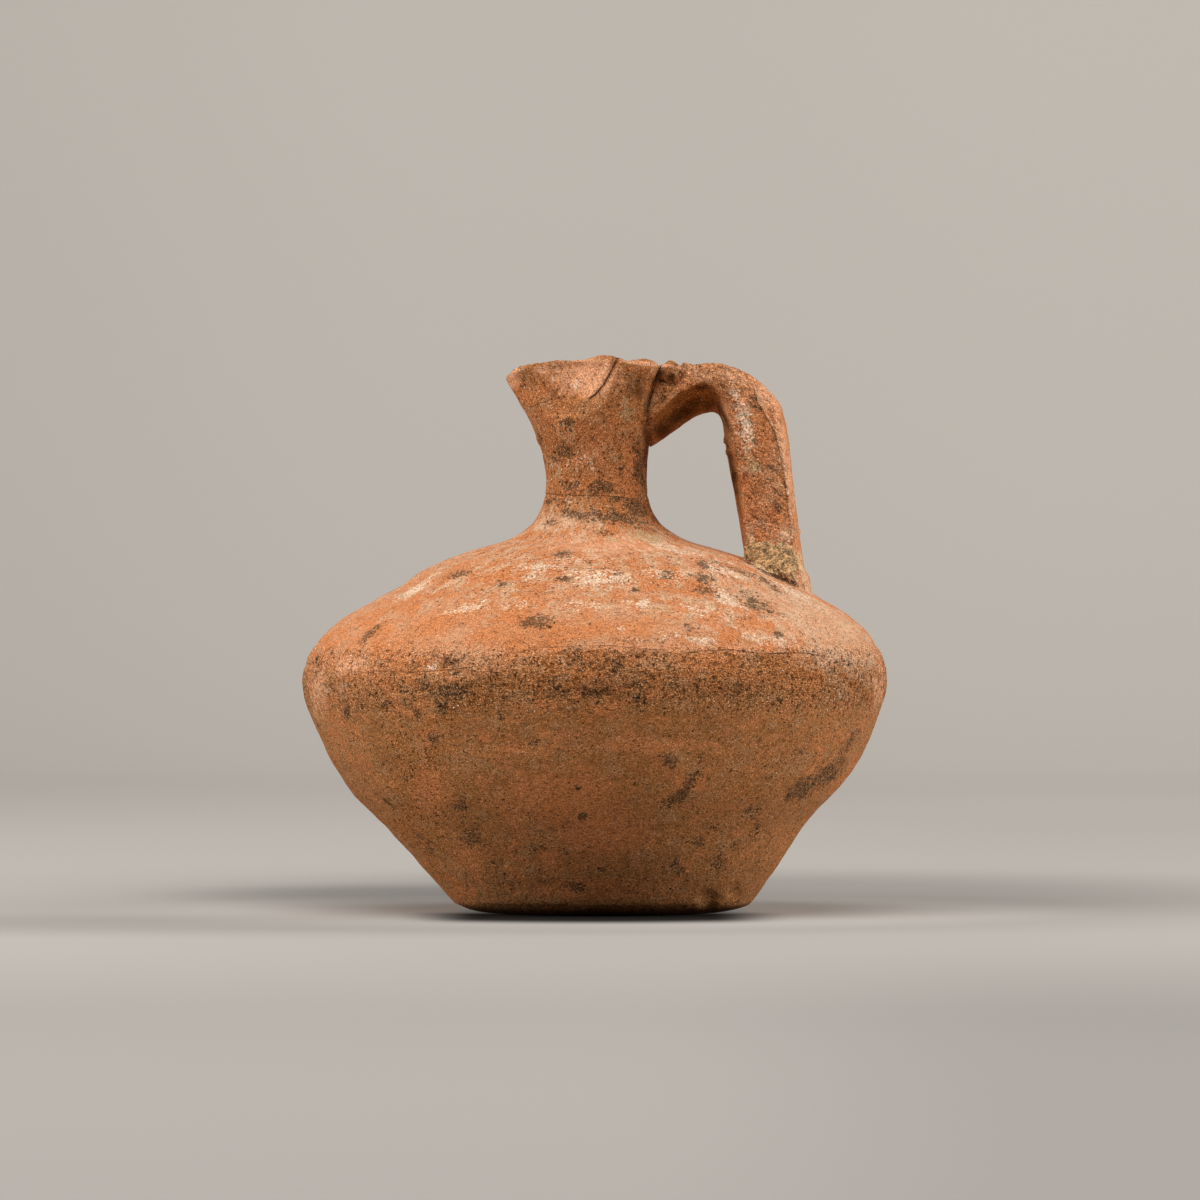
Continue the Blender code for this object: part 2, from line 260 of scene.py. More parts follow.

# Fine dark cracks and wheel lines, drawn on the clay as dirt with painted shade: run in pixels, strength and
# half width in metres
CRACKS = (
    (FOLD_CRACK, 0.70, 0.00034),
    (ROOT_CREASE, 0.8, 0.00045),
    (FOOT_CREVICE, 1.1, 0.00080),
    (((520, 648), (566, 647), (610, 646), (647, 650), (668, 650)), 0.34, 0.00026),
    (((684, 654), (700, 652), (729, 650), (760, 654), (802, 653), (838, 659)), 0.48, 0.00034),
    (((368, 671), (410, 673), (443, 671), (470, 668), (496, 671)), 0.35, 0.00034),
    (((540, 493), (560, 495), (580, 496), (606, 496), (650, 501)), 0.50, 0.00026),
    (((500, 570), (560, 567), (590, 569), (630, 568)), 0.25, 0.00026),
    (((526, 409), (545, 402), (566, 396)), 0.30, 0.00026),
    (((619, 374), (640, 378), (656, 384)), 0.25, 0.00030),
    (((664, 370), (662, 378), (666, 384), (673, 386), (680, 381), (682, 373)), 0.7, 0.00030),
)

# How far from its line a crack is felt, an edge's half width, and a distance past every line
CRACK_REACH = (0.0032, 0.0018)
EDGE_WIDTH = 0.0005
FAR_OFF = 9.0

# Where the shoulder's smooth clay ends and the coarser wall begins: on the near side in pixels, which
# fades out to the left, and elsewhere at one level. It is felt up to so many millimetres away.
LEDGE = (
    (352, 676), (443, 672), (492, 668), (530, 656), (566, 648), (647, 650), (729, 651), (802, 654),
    (850, 660), (885, 674),
)
LEDGE_LEVEL = 0.0860
LEDGE_FADE = (520.0, 380.0)
LEDGE_REACH = 20.0

# Ridges on the near side, left by the pressing of the clay: run in pixels, width and height in metres
OUTER_RIDGE = (
    (754, 384), (758, 402), (767, 417), (775, 432), (780, 448), (784, 470), (788, 500), (792, 540),
)
STRAP_EDGE = ((648, 421), (667, 402), (680, 391), (694, 384), (704, 381), (713, 385), (720, 396))
LIMB_EDGE = ((720, 396), (727, 416), (733, 430), (737, 443), (739, 458), (741, 480), (745, 520), (749, 548))
SPOUT_CREST = ((533, 364), (537, 372), (544, 380), (551, 387), (557, 393))
DISH_EDGE = ((557, 393), (566, 400), (577, 404), (588, 402))
SPOUT_LIP = ((507, 380), (512, 373), (520, 369), (533, 365))
RIDGES = (
    (OUTER_RIDGE, 0.0016, 0.0006),
    (LIMB_EDGE, 0.0018, 0.0007),
    (STRAP_EDGE, 0.0024, 0.0013),
    (SPOUT_CREST, 0.0026, 0.0012),
    (DISH_EDGE, 0.0022, 0.0007),
    (SPOUT_LIP, 0.0022, 0.0004),
)

# Chips and hollows (+) and stuck lumps (-) on the near side: place in pixels, radius and depth in metres
CHIPS = (
    ((563, 369), 0.0010, 0.0006),
    ((573, 376), 0.0010, 0.0006),
    ((568, 423), 0.0020, 0.0005),
    ((529, 383), 0.0056, 0.0012),
    ((583, 380), 0.0085, 0.0012),
    ((520, 378), 0.0020, 0.0006),
    ((681, 405), 0.0060, 0.0012),
    ((697, 395), 0.0050, 0.0010),
    ((686, 366), 0.0022, -0.0012),
    ((664, 369), 0.0016, -0.0007),
    ((679, 381), 0.0016, -0.0005),
    ((726, 446), 0.0050, -0.0010),
    ((735, 488), 0.0060, 0.0008),
    ((778, 402), 0.0060, -0.0008),
    ((541, 440), 0.0026, -0.0006),
    ((728, 447), 0.0015, 0.0010),
    ((789, 454), 0.0014, 0.0010),
    ((793, 497), 0.0016, 0.0011),
    ((797, 532), 0.0018, -0.0008),
    ((752, 500), 0.0026, 0.0007),
    ((770, 520), 0.0030, 0.0006),
    ((617, 627), 0.0014, 0.0005),
    ((790, 655), 0.0024, 0.0008),
    ((806, 654), 0.0012, 0.0006),
    ((700, 651), 0.0018, 0.0005),
    ((648, 652), 0.0014, 0.0005),
    ((464, 672), 0.0024, 0.0006),
    ((708, 900), 0.0044, 0.0012),
    ((734, 892), 0.0034, 0.0007),
    ((650, 600), 0.0100, 0.0004),
    ((470, 640), 0.0090, 0.0005),
    ((560, 760), 0.0120, -0.0005),
    ((690, 740), 0.0110, 0.0005),
    ((390, 770), 0.0070, 0.0006),
)

# Dips (+) and lumps (-) along the near side's rim, which change its outline: place, radius and depth
RIM_CHIPS = (
    ((577, 359), 0.0070, 0.0009),
    ((648, 366), 0.0060, -0.0013),
    ((505, 379), 0.0050, 0.0010),
    ((604, 356), 0.0040, -0.0004),
    ((627, 358), 0.0022, 0.0005),
)

# Where the rim takes them: how far below the mouth, and how far towards the viewer
RIM_BAND = 0.006
NEAR_RIM = (-0.001, 0.003)

# Where a point can belong to the handle, and which of the strap's sections are tried, every so many
HANDLE_CLEAR = 0.0008
HANDLE_FROM = 0.012
HANDLE_BELOW_NECK = 0.03
HANDLE_STRIDE = 4

# Painted shade under the handle's lower edge: the pixels over which it begins, and its reach in millimetres
SHADOW_FROM = (640.0, 648.0)
SHADOW_REACH = 4.0

# Stains, and patches of painted shade and highlight, on the near side: place, half length and half width in
# pixels, tilt (rising to the right), strength
SOOT_MARKS = (
    (568, 423, 9, 5, 0, 0.9), (558, 455, 11, 8, -20, 0.8), (566, 450, 6, 10, 30, 0.8),
    (640, 465, 6, 24, 0, 0.8), (636, 448, 6, 12, 0, 0.5), (620, 468, 4, 4, 0, 0.5),
    (569, 486, 12, 6, 0, 0.9), (599, 489, 14, 8, 0, 1.0), (620, 500, 18, 4, 0, 0.8),
    (637, 508, 16, 8, -25, 1.1), (574, 514, 14, 5, -15, 1.1), (588, 520, 10, 3, 0, 0.8),
    (617, 518, 24, 6, -12, 1.2), (560, 500, 12, 3, 0, 0.6), (552, 522, 9, 4, 15, 0.7),
    (606, 533, 9, 3, 0, 0.9), (660, 520, 14, 6, -35, 0.7), (645, 528, 16, 4, -20, 0.5),
    (548, 502, 8, 5, 0, 0.5), (455, 575, 16, 4, 12, 0.8), (563, 554, 12, 4, 4, 0.8),
    (565, 579, 10, 3, 0, 0.7), (504, 584, 9, 3, 15, 0.7), (590, 562, 8, 3, 0, 0.5),
    (618, 573, 8, 3, 0, 0.5), (636, 590, 7, 3, 0, 0.6), (702, 564, 8, 5, -30, 0.9),
    (704, 578, 12, 5, -5, 0.9), (706, 590, 14, 5, -20, 0.8), (668, 575, 10, 6, 0, 0.6),
    (745, 573, 34, 3, -20, 0.7), (752, 603, 26, 11, -30, 0.45), (770, 611, 14, 7, -20, 0.45),
    (748, 618, 9, 3, 0, 0.6), (778, 635, 5, 4, 0, 1.0), (775, 588, 10, 4, -25, 0.5),
    (372, 632, 15, 3, 38, 1.0), (364, 640, 6, 3, 40, 0.6), (536, 622, 18, 8, 0, 0.7),
    (545, 618, 8, 4, 0, 0.5), (690, 628, 14, 9, -15, 0.5), (640, 700, 7, 5, 0, 0.6),
    (452, 692, 20, 7, 0, 1.0), (426, 685, 8, 5, -30, 0.8), (449, 662, 8, 8, 20, 0.8),
    (433, 652, 4, 5, 0, 0.6), (578, 655, 8, 8, 0, 0.8), (585, 666, 12, 8, 0, 0.4),
    (617, 667, 7, 10, 0, 1.0), (620, 652, 5, 5, 0, 0.5), (347, 712, 4, 8, 0, 0.9),
    (318, 664, 3, 12, -8, 0.8), (319, 640, 3, 5, 0, 0.5), (640, 684, 7, 5, 0, 0.8),
    (388, 703, 5, 5, 0, 0.9), (416, 712, 5, 8, 30, 0.7), (444, 710, 6, 5, -30, 0.9),
    (434, 738, 6, 9, 30, 0.9), (437, 705, 4, 3, 0, 0.7), (458, 693, 8, 4, 0, 0.6), (523, 725, 7, 4, 0, 0.7),
    (500, 716, 5, 4, 0, 0.5), (556, 688, 8, 5, 0, 0.8), (591, 693, 14, 5, 0, 0.7), (536, 742, 6, 5, 0, 0.6),
    (509, 757, 5, 3, 0, 0.5), (802, 789, 15, 7, 30, 1.2), (826, 775, 17, 8, 38, 1.0),
    (848, 745, 22, 4, 55, 0.7), (842, 762, 8, 4, 40, 0.6), (790, 797, 9, 3, 30, 0.8),
    (684, 790, 28, 6, 50, 0.9), (672, 801, 10, 8, 20, 0.6), (668, 761, 12, 9, 0, 0.7),
    (702, 757, 5, 5, 0, 0.5), (801, 751, 7, 4, 0, 0.8), (583, 816, 5, 4, 0, 1.1), (578, 787, 5, 3, 0, 0.9),
    (460, 806, 8, 4, -10, 0.9), (461, 798, 4, 3, 0, 0.7), (404, 778, 5, 4, 0, 0.8),
    (386, 800, 5, 3, -40, 0.6), (395, 808, 5, 3, -40, 0.6), (749, 810, 6, 5, 0, 0.9),
    (757, 820, 3, 11, 10, 0.9), (715, 829, 6, 4, 0, 0.6), (752, 837, 4, 3, 0, 0.7),
    (700, 842, 7, 6, 0, 0.8), (720, 862, 10, 13, 0, 0.6), (674, 864, 6, 6, 0, 0.8),
    (680, 872, 9, 8, 0, 0.4), (735, 846, 5, 5, 0, 0.5), (565, 852, 6, 4, 0, 0.6), (540, 848, 10, 8, 0, 0.4),
    (470, 836, 16, 12, 0, 0.4), (575, 888, 12, 6, 0, 0.6), (430, 850, 10, 4, -45, 0.5),
    (418, 835, 7, 4, -45, 0.6), (600, 870, 8, 4, 0, 0.5), (734, 475, 5, 40, 0, 0.2),
    (778, 506, 8, 5, 0, 0.4), (770, 466, 6, 6, 0, 0.4), (690, 403, 12, 6, 28, 0.6),
)
CHALK_MARKS = (
    (537, 567, 34, 6, 4, 0.9), (600, 578, 50, 12, 0, 0.8), (660, 574, 36, 9, -6, 0.8),
    (528, 578, 16, 5, 10, 0.9), (415, 590, 22, 4, 32, 1.1), (436, 590, 14, 4, 20, 0.6),
    (470, 608, 28, 7, 15, 0.7), (575, 560, 40, 8, 0, 0.6), (585, 463, 26, 13, 0, 0.45),
    (570, 500, 12, 5, 0, 0.5), (725, 598, 30, 8, -30, 0.9), (742, 607, 20, 6, -40, 0.9),
    (688, 552, 46, 8, -16, 0.7), (720, 570, 40, 10, -25, 0.6), (700, 610, 34, 12, -15, 0.5),
    (520, 605, 30, 7, 5, 0.6), (580, 606, 36, 9, 0, 0.5), (640, 604, 26, 8, 0, 0.6),
    (790, 590, 40, 6, -32, 0.8), (745, 427, 8, 19, 8, 1.35), (737, 398, 6, 14, 15, 1.1),
    (748, 448, 4, 10, 0, 0.8), (752, 380, 12, 5, -30, 0.5), (433, 667, 10, 8, 0, 0.7),
    (450, 676, 14, 4, 0, 0.7), (352, 655, 10, 5, 20, 0.5), (575, 384, 14, 7, 0, 0.5),
    (515, 366, 10, 3, 30, 0.6), (620, 628, 7, 3, -30, 1.1), (552, 379, 8, 4, 0, 0.6),
    (700, 640, 60, 8, -5, 0.5), (770, 640, 50, 10, -10, 0.5), (640, 640, 30, 5, 0, 0.4),
    (668, 545, 30, 6, -10, 0.7),
)
# Pale rubbed patches, partly painted highlights where they lie on lit places: the dish, the lip, the handle's
# outer strip and the belly's edges
PALE_AND_HIGHLIGHT_MARKS = (
    (585, 377, 34, 19, 0, 1.2), (513, 377, 9, 12, 0, 1.2), (542, 370, 12, 7, 0, 0.8),
    (600, 366, 20, 8, 0, 1.0), (784, 452, 74, 6, -80, 1.0), (764, 396, 20, 10, -62, 0.9),
    (742, 408, 16, 12, -60, 0.7), (735, 378, 20, 7, -20, 0.7), (650, 364, 40, 3, -6, 0.9),
    (595, 455, 30, 16, 0, 0.3), (805, 575, 8, 18, 25, 0.9), (610, 545, 120, 16, 0, 0.5),
    (318, 690, 16, 50, 0, 0.6), (880, 690, 14, 50, 0, 0.6), (350, 665, 40, 22, 0, 0.5),
)
DUST_MARKS = (
    (815, 612, 80, 40, -38, 1.4), (858, 650, 30, 32, -50, 1.1), (745, 590, 70, 26, -25, 0.9),
    (700, 626, 60, 14, 0, 0.6), (845, 690, 30, 40, 0, 0.3), (340, 690, 30, 20, 0, 0.4),
    (560, 520, 70, 16, 0, 0.9),
)
OLIVE_MARKS = (
    (652, 538, 34, 8, -18, 0.9), (610, 540, 30, 5, 0, 0.5), (754, 602, 34, 15, -30, 0.5),
    (754, 464, 13, 8, -30, 0.9), (774, 482, 20, 3, -28, 0.8), (690, 540, 26, 5, -24, 0.6),
    (560, 470, 18, 12, 0, 0.5), (628, 415, 14, 26, 0, 0.6), (770, 500, 12, 4, 0, 0.5),
    (742, 500, 4, 14, 0, 0.6),
)
EMBER_MARKS = (
    (430, 790, 22, 30, 0, 1.0), (560, 800, 80, 34, 0, 1.0), (600, 832, 70, 36, 0, 0.9),
    (600, 888, 90, 14, 0, 0.9), (640, 745, 90, 12, 0, 0.7), (540, 632, 80, 14, 0, 1.0),
    (440, 622, 60, 14, 18, 1.0), (630, 628, 70, 14, 0, 0.8), (430, 735, 18, 20, 0, 0.8),
    (705, 662, 46, 10, 0, 0.8), (560, 420, 34, 16, 0, 0.6), (510, 748, 30, 10, 0, 0.6),
    (470, 858, 30, 20, 0, 0.7), (775, 520, 12, 18, 0, 0.9), (768, 430, 8, 26, 0, 0.7),
    (600, 440, 30, 14, 0, 0.5), (630, 560, 30, 6, 0, 0.5), (780, 845, 30, 50, 0, 0.3),
    (880, 650, 20, 20, 0, 0.6), (540, 394, 16, 8, 0, 0.6),
)
# Warm brown patches: partly a brown film, partly painted shade under the handle, in the right lobe and in the
# spout's hollow
UMBER_AND_SHADE_MARKS = (
    (600, 714, 150, 26, 0, 0.8), (560, 800, 130, 34, 0, 0.4), (740, 790, 60, 60, 0, 0.6),
    (636, 386, 20, 22, 0, 0.8), (600, 435, 44, 40, 0, 0.5), (590, 505, 46, 20, 0, 0.6),
    (470, 760, 60, 40, 0, 0.4), (531, 384, 14, 8, -18, 0.8), (697, 402, 50, 14, 30, 0.8),
)
EARTH_MARKS = (
    (770, 560, 29, 16, -14, 1.2), (752, 551, 9, 13, 0, 0.9), (789, 556, 7, 15, 0, 0.8),
    (768, 544, 5, 9, 0, 0.6),
)
# Patches of painted shade: under the handle, in the right lobe and the curl's hollow, beside the neck and the
# handle, and along the belly
PAINTED_SHADE_MARKS = (
    (684, 412, 40, 10, 31, 0.95), (662, 430, 14, 12, 40, 0.9), (708, 404, 12, 8, 0, 0.9),
    (702, 388, 10, 4, 10, 0.9), (636, 388, 16, 22, 0, 0.7), (664, 400, 14, 10, 40, 0.6),
    (671, 378, 6, 5, 20, 1.2), (648, 436, 8, 50, 0, 0.8), (732, 470, 60, 5, -80, 0.9),
    (724, 418, 24, 4, -62, 0.9), (676, 365, 6, 6, 0, 0.6), (540, 440, 6, 12, 0, 0.5),
    (480, 684, 60, 12, 0, 0.35), (590, 690, 110, 16, 0, 0.45), (720, 690, 90, 16, 0, 0.35),
    (778, 578, 22, 3, -24, 1.0),
)


class JugRelief(bpy.types.PropertyGroup):
    """How fine the skin is, and how far hand, wheel, temper and burial changed it"""

    turns: bpy.props.IntProperty(
        name="Turns", description="Steps of the wall round the wheel", default=520, min=60)
    triangles: bpy.props.IntProperty(
        name="Triangles", description="Most triangles that the skin keeps", default=190000, min=20000)
    ripple: bpy.props.FloatProperty(
        name="Throwing Ripple", description="Height of the rings that the thrower's fingers left",
        default=0.00045, unit="LENGTH", precision=5)
    lump: bpy.props.FloatProperty(
        name="Hand Lumps", description="Height of the slow unevenness of the wall",
        default=0.0009, unit="LENGTH", precision=5)
    grain: bpy.props.FloatProperty(
        name="Worn Grain", description="Depth of the coarse worn surface",
        default=0.00065, unit="LENGTH", precision=5)
    pit: bpy.props.FloatProperty(
        name="Pits", description="Depth of the pits where temper fell out",
        default=0.0006, unit="LENGTH", precision=5)
    tear: bpy.props.FloatProperty(
        name="Handle Tears", description="Depth of the torn clay on the handle's sides",
        default=0.0011, unit="LENGTH", precision=5)
    crumbs: bpy.props.IntProperty(
        name="Earth Crumbs", description="Crumbs of dried earth at the handle's foot", default=1100, min=0)
    crumb_size: bpy.props.FloatProperty(
        name="Crumb Size", description="Largest crumb's radius", default=0.0008, unit="LENGTH", precision=5)
    grit: bpy.props.IntProperty(
        name="Grit Grains", description="Pale grains of temper that show in the wall", default=420, min=0)
    grit_size: bpy.props.FloatProperty(
        name="Grit Size", description="Largest grain's radius", default=0.00034, unit="LENGTH", precision=5)


def colour(label, note, value):
    """A colour that the user can change."""
    return bpy.props.FloatVectorProperty(
        name=label, description=note, default=value, size=3, subtype="COLOR", min=0.0, max=1.0)


class ClayColours(bpy.types.PropertyGroup):
    """The colours of the fired clay and of what lies on it"""

    ember: colour("Ember Clay", "Brightest orange of the fired clay", (0.57, 0.202, 0.070))
    salmon: colour("Salmon Clay", "Paler, pinker clay where the surface is rubbed", (0.59, 0.280, 0.146))
    brown: colour("Brown Clay", "Browner clay of the lower wall", (0.32, 0.138, 0.040))
    # Also laid as painted shade over the neck, the lower wall and under the handle
    umber: colour("Umber Film", "Warm brown film on the neck and the lower wall", (0.30, 0.092, 0.008))
    # Also laid as painted highlights on lit places of the mouth, the handle and the belly
    pale: colour("Rubbed Clay", "Pale pinkish clay where hands and tools rubbed it", (0.74, 0.36, 0.195))
    dust: colour("Dust", "Tan dust that lies on the shoulder and the handle side", (0.64, 0.40, 0.25))
    buff: colour("Buff Bloom", "Thin buff film over the clay", (0.54, 0.30, 0.155))
    chalk: colour("Chalk", "Cream lime left by burial", (0.76, 0.51, 0.33))
    soot: colour("Soot", "Grey-brown smoke stain", (0.092, 0.047, 0.020))
    olive: colour("Olive Earth", "Greenish dried film", (0.40, 0.30, 0.15))
    earth: colour("Dried Earth", "Dried mud at the handle's foot", (0.73, 0.49, 0.26))
    # Also laid as painted shade under the handle, at the foot, in hollows and cracks, beside the handle's
    # ridge and in the gaps of the mud, as well as dirt in pits
    shade: colour("Crack Dirt", "Dark dirt in cracks and pits", (0.050, 0.018, 0.003))
    grit: colour("Grit", "Pale mineral grains", (0.84, 0.66, 0.50))


class StudioSettings(bpy.types.PropertyGroup):
    """The plain studio around the jug"""

    sweep: colour("Sweep", "Warm grey of the floor and the wall behind", (0.43, 0.403, 0.371))
    # The paper's glow is painted light: the paper gives off light of its own
    glow: bpy.props.FloatProperty(
        name="Sweep Glow", description="How bright the lit paper is far behind the jug",
        default=0.58, min=0.0)
    key: bpy.props.FloatProperty(
        name="Overhead Light", description="Power of the large light above", default=25.8, unit="POWER")
    left: bpy.props.FloatProperty(
        name="Left Fill", description="Power of the light on the left", default=15.0, unit="POWER")
    right: bpy.props.FloatProperty(
        name="Right Fill", description="Power of the light on the right", default=18.5, unit="POWER")
    ambient: bpy.props.FloatProperty(
        name="Ambient", description="Strength of the even light from all round", default=0.095, min=0.0)


def ease(value, low, high):
    """Smooth rise from 0 at low to 1 at high."""
    share = np.clip((value - low) / (high - low), 0.0, 1.0)
    return share * share * (3.0 - 2.0 * share)


def bend(start, start_slope, end, end_slope, facets):
    """Points from start to end of a curve that leaves and arrives at the given slopes, bent like an arc."""
    start, end = np.array(start), np.array(end)
    leaving, arriving = math.radians(start_slope), math.radians(end_slope)
    half_turn = (arriving - leaving) / 2.0
    reach = 1.0 / 3.0
    if abs(half_turn) > 1e-4:
        reach = 2.0 / 3.0 * math.tan(half_turn / 2.0) / math.sin(half_turn)
    reach *= np.linalg.norm(end - start)
    after = start + reach * np.array([math.cos(leaving), math.sin(leaving)])
    before = end - reach * np.array([math.cos(arriving), math.sin(arriving)])
    along = np.linspace(0.0, 1.0, facets + 1)[:, None]
    back = 1.0 - along
    return back**3 * start + 3 * back**2 * along * after + 3 * back * along**2 * before + along**3 * end


def evenly(points, spacing):
    """The same line with its points about the given distance apart."""
    points = np.asarray(points, dtype=float)
    runs = np.concatenate([[0.0], np.cumsum(np.linalg.norm(np.diff(points, axis=0), axis=1))])
    places = np.linspace(0.0, runs[-1], max(2, round(runs[-1] / spacing) + 1))
    return np.column_stack([np.interp(places, runs, column) for column in points.T])


def outline_knots():
    """The turned outline from the foot to the mouth: radius, level and slope at each knot."""
    knots = []
    level = 0.0
    for radius, rise, slope in (
        FOOT, KNEE, FLANK, BELLY, BROW, SHOULDER, COLLAR, NECK_ROOT, NECK, MOUTH,
    ):
        level += rise
        knots.append((radius, level, slope))
    return knots


KNOT_FACETS = 24
KNOTS = outline_knots()
FOOT_LEVEL, KNEE_LEVEL, FLANK_LEVEL, BELLY_LEVEL = (level for _, level, _ in KNOTS[:4])
SHOULDER_LEVEL = KNOTS[5][1]
NECK_ROOT_LEVEL, NECK_LEVEL, MOUTH_LEVEL = (level for _, level, _ in KNOTS[7:])
NECK_RADIUS, MOUTH_RADIUS = NECK[0], MOUTH[0]
RIM_LEVEL = MOUTH_LEVEL + LIP / 2.0 * (1.0 + math.cos(math.radians(MOUTH[2])))


def turned_wall():
    """The outer wall's points from the foot up to the mouth."""
    points = [np.array(KNOTS[0][:2])]
    for below, above in zip(KNOTS, KNOTS[1:]):
        points.extend(bend(below[:2], below[2], above[:2], above[2], KNOT_FACETS)[1:])
    return np.array(points)


OUTER_WALL = turned_wall()


def radius_at(level):
    """The turned wall's outer radius at a level."""
    return np.interp(level, OUTER_WALL[:, 1], OUTER_WALL[:, 0])


def shoulder_level(radius):
    """The level at which the shoulder, between the belly and the neck, has this radius."""
    above_belly = OUTER_WALL[:, 1] >= BELLY_LEVEL
    below_neck = OUTER_WALL[:, 1] <= NECK_LEVEL
    shoulder = OUTER_WALL[above_belly & below_neck][::-1]
    return float(np.interp(radius, shoulder[:, 0], shoulder[:, 1]))


def wall_thickness(level):
    """The wall's thickness at a level: thickest at the belly, thinnest at the lip."""
    neck = ease(level, BELLY_LEVEL, NECK_ROOT_LEVEL)
    lip = ease(level, NECK_LEVEL, MOUTH_LEVEL)
    return BELLY_WALL + (NECK_WALL - BELLY_WALL) * neck + (LIP - NECK_WALL) * lip


def inner_wall(depth_share):
    """The wall pushed in by a share of its thickness, from the floor's corner up to the mouth."""
    along = np.gradient(OUTER_WALL, axis=0)
    along /= np.linalg.norm(along, axis=1)[:, None]
    normals = np.column_stack([along[:, 1], -along[:, 0]])
    points = OUTER_WALL - normals * (depth_share * wall_thickness(OUTER_WALL[:, 1]))[:, None]
    corner = depth_share * (FLOOR + FLOOR_CORNER)
    first = (np.interp(corner, points[:, 1], points[:, 0]), corner)
    return np.vstack([first, points[points[:, 1] > corner]])


def jug_profile():
    """The closed wall, from the middle of the floor up inside, over the lip, down outside and underneath."""
    inner = inner_wall(1.0)
    flat_floor = evenly([(0.0, FLOOR), (inner[0][0] - FLOOR_CORNER, FLOOR)], INNER_ROW)
    floor_bend = bend(flat_floor[-1], 0.0, inner[0], KNEE[2], LIP_FACETS)
    slope = math.radians(MOUTH[2])
    up, out = np.array([math.cos(slope), math.sin(slope)]), np.array([math.sin(slope), -math.cos(slope)])
    middle = OUTER_WALL[-1] - out * LIP / 2.0
    turn = np.linspace(0.0, math.pi, LIP_FACETS + 1)[:, None]
    lip = middle - out * np.cos(turn) * LIP / 2.0 + up * np.sin(turn) * LIP / 2.0
    edge = bend((STANDING_RADIUS, 0.0), UNDERSIDE_SLOPE, OUTER_WALL[0], FOOT_EDGE_SLOPE, LIP_FACETS)
    return np.vstack([
        flat_floor,
        floor_bend[1:],
        evenly(inner, INNER_ROW)[1:-1],
        lip,
        evenly(OUTER_WALL, OUTER_ROW)[::-1][1:],
        edge[::-1][1:],
        evenly([(STANDING_RADIUS, 0.0), (0.0, 0.0)], INNER_ROW)[1:],
    ])


def core_profile():
    """The middle of the wall, closed above the mouth: what the handle's clay may not pass."""
    wall = evenly(inner_wall(0.5), INNER_ROW)
    above = MOUTH_LEVEL + MOUTH[1]
    return np.vstack([(0.0, above), (wall[-1][0], above), wall[::-1], (0.0, FLOOR / 2.0)])[::-1]


def shift_at(level):
    """How far the axis has moved towards the handle at a level."""
    above_foot = ease(level, FOOT_LEVEL, KNEE_LEVEL)
    foot = FOOT_SHIFT * (1.0 - above_foot)
    knee = KNEE_SHIFT * above_foot * (1.0 - ease(level, KNEE_LEVEL, FLANK_LEVEL))
    neck_share = ease(level, SHOULDER_LEVEL, NECK_ROOT_LEVEL)
    swell = SHOULDER_SHIFT * ease(level, BELLY_LEVEL, SHOULDER_LEVEL) * (1.0 - neck_share)
    return foot + knee + swell + NECK_SHIFT * neck_share


def flare_at(level):
    """How far the mouth has opened at a level, from 0 at the neck to 1 at the lip."""
    opened = (radius_at(np.minimum(level, MOUTH_LEVEL)) - NECK_RADIUS) / (MOUTH_RADIUS - NECK_RADIUS)
    return np.where(level > NECK_LEVEL, opened, 0.0)


class Wire:
    """A socket's value, which arithmetic extends with Math nodes in the socket's own tree."""

    def __init__(self, socket):
        self.socket = socket

    @property
    def tree(self):
        """The tree that the value belongs to."""
        return self.socket.id_data

    def math(self, operation, *others):
        made = node(self.tree, "ShaderNodeMath", dict(enumerate((self, *others))), operation=operation)
        return Wire(made.outputs[0])

    def __add__(self, other):
        return self.math("ADD", other)

    def __sub__(self, other):
        return self.math("SUBTRACT", other)

    def __mul__(self, other):
        return self.math("MULTIPLY", other)

    def __truediv__(self, other):
        return self.math("DIVIDE", other)

    def __pow__(self, other):
        return self.math("POWER", other)

    def at_least(self, other):
        """The larger of the two."""
        return self.math("MAXIMUM", other)

    def within(self, low, high):
        """The value, kept between low and high."""
        return self.at_least(low).math("MINIMUM", high)

    def unsigned(self):
        """The value without its sign."""
        return self.math("ABSOLUTE")

    def rest(self, whole=1.0):
        """What is left of the whole once this is taken off."""
        return (self * -1.0) + whole

    def eased(self, low, high):
        """Smooth rise from 0 at low to 1 at high, or a fall where low is the higher one."""
        return result(self.tree, "ShaderNodeMapRange", {
            "Value": self, "From Min": low, "From Max": high}, interpolation_type="SMOOTHSTEP")

    def parts(self):
        """The three coordinates of a place."""
        return [Wire(socket) for socket in node(self.tree, "ShaderNodeSeparateXYZ", {0: self}).outputs]

    def stretched(self, x, y, z):
        """A place with each coordinate multiplied."""
        return result(self.tree, "ShaderNodeVectorMath", {0: self, 1: (x, y, z)}, operation="MULTIPLY")

    def scaled(self, factor):
        """A place, a run or a colour, multiplied as a whole."""
        return result(self.tree, "ShaderNodeVectorMath", {0: self, "Scale": factor}, operation="SCALE")


def plug(entry, value):
    """Links a wire to a socket, or sets the socket's own value."""
    if isinstance(value, Wire):
        value.tree.links.new(value.socket, entry)
    else:
        entry.default_value = value


def node(tree, kind, inputs=None, **settings):
    """A new node with its settings, and its inputs linked or set."""
    made = tree.nodes.new(kind)
    for name, value in settings.items():
        setattr(made, name, value)
    for name, value in (inputs or {}).items():
        plug(made.inputs[name], value)
    return made


def result(tree, kind, inputs=None, output=0, **settings):
    """What a new node gives at one of its outputs."""
    return Wire(node(tree, kind, inputs, **settings).outputs[output])


def place_of(x, y, z):
    """A place from its three coordinates."""
    return result(x.tree, "ShaderNodeCombineXYZ", {0: x, 1: y, 2: z})


def from_middle(x, y):
    """How far a point at x and y is from the middle."""
    return (x * x + y * y).math("SQRT")


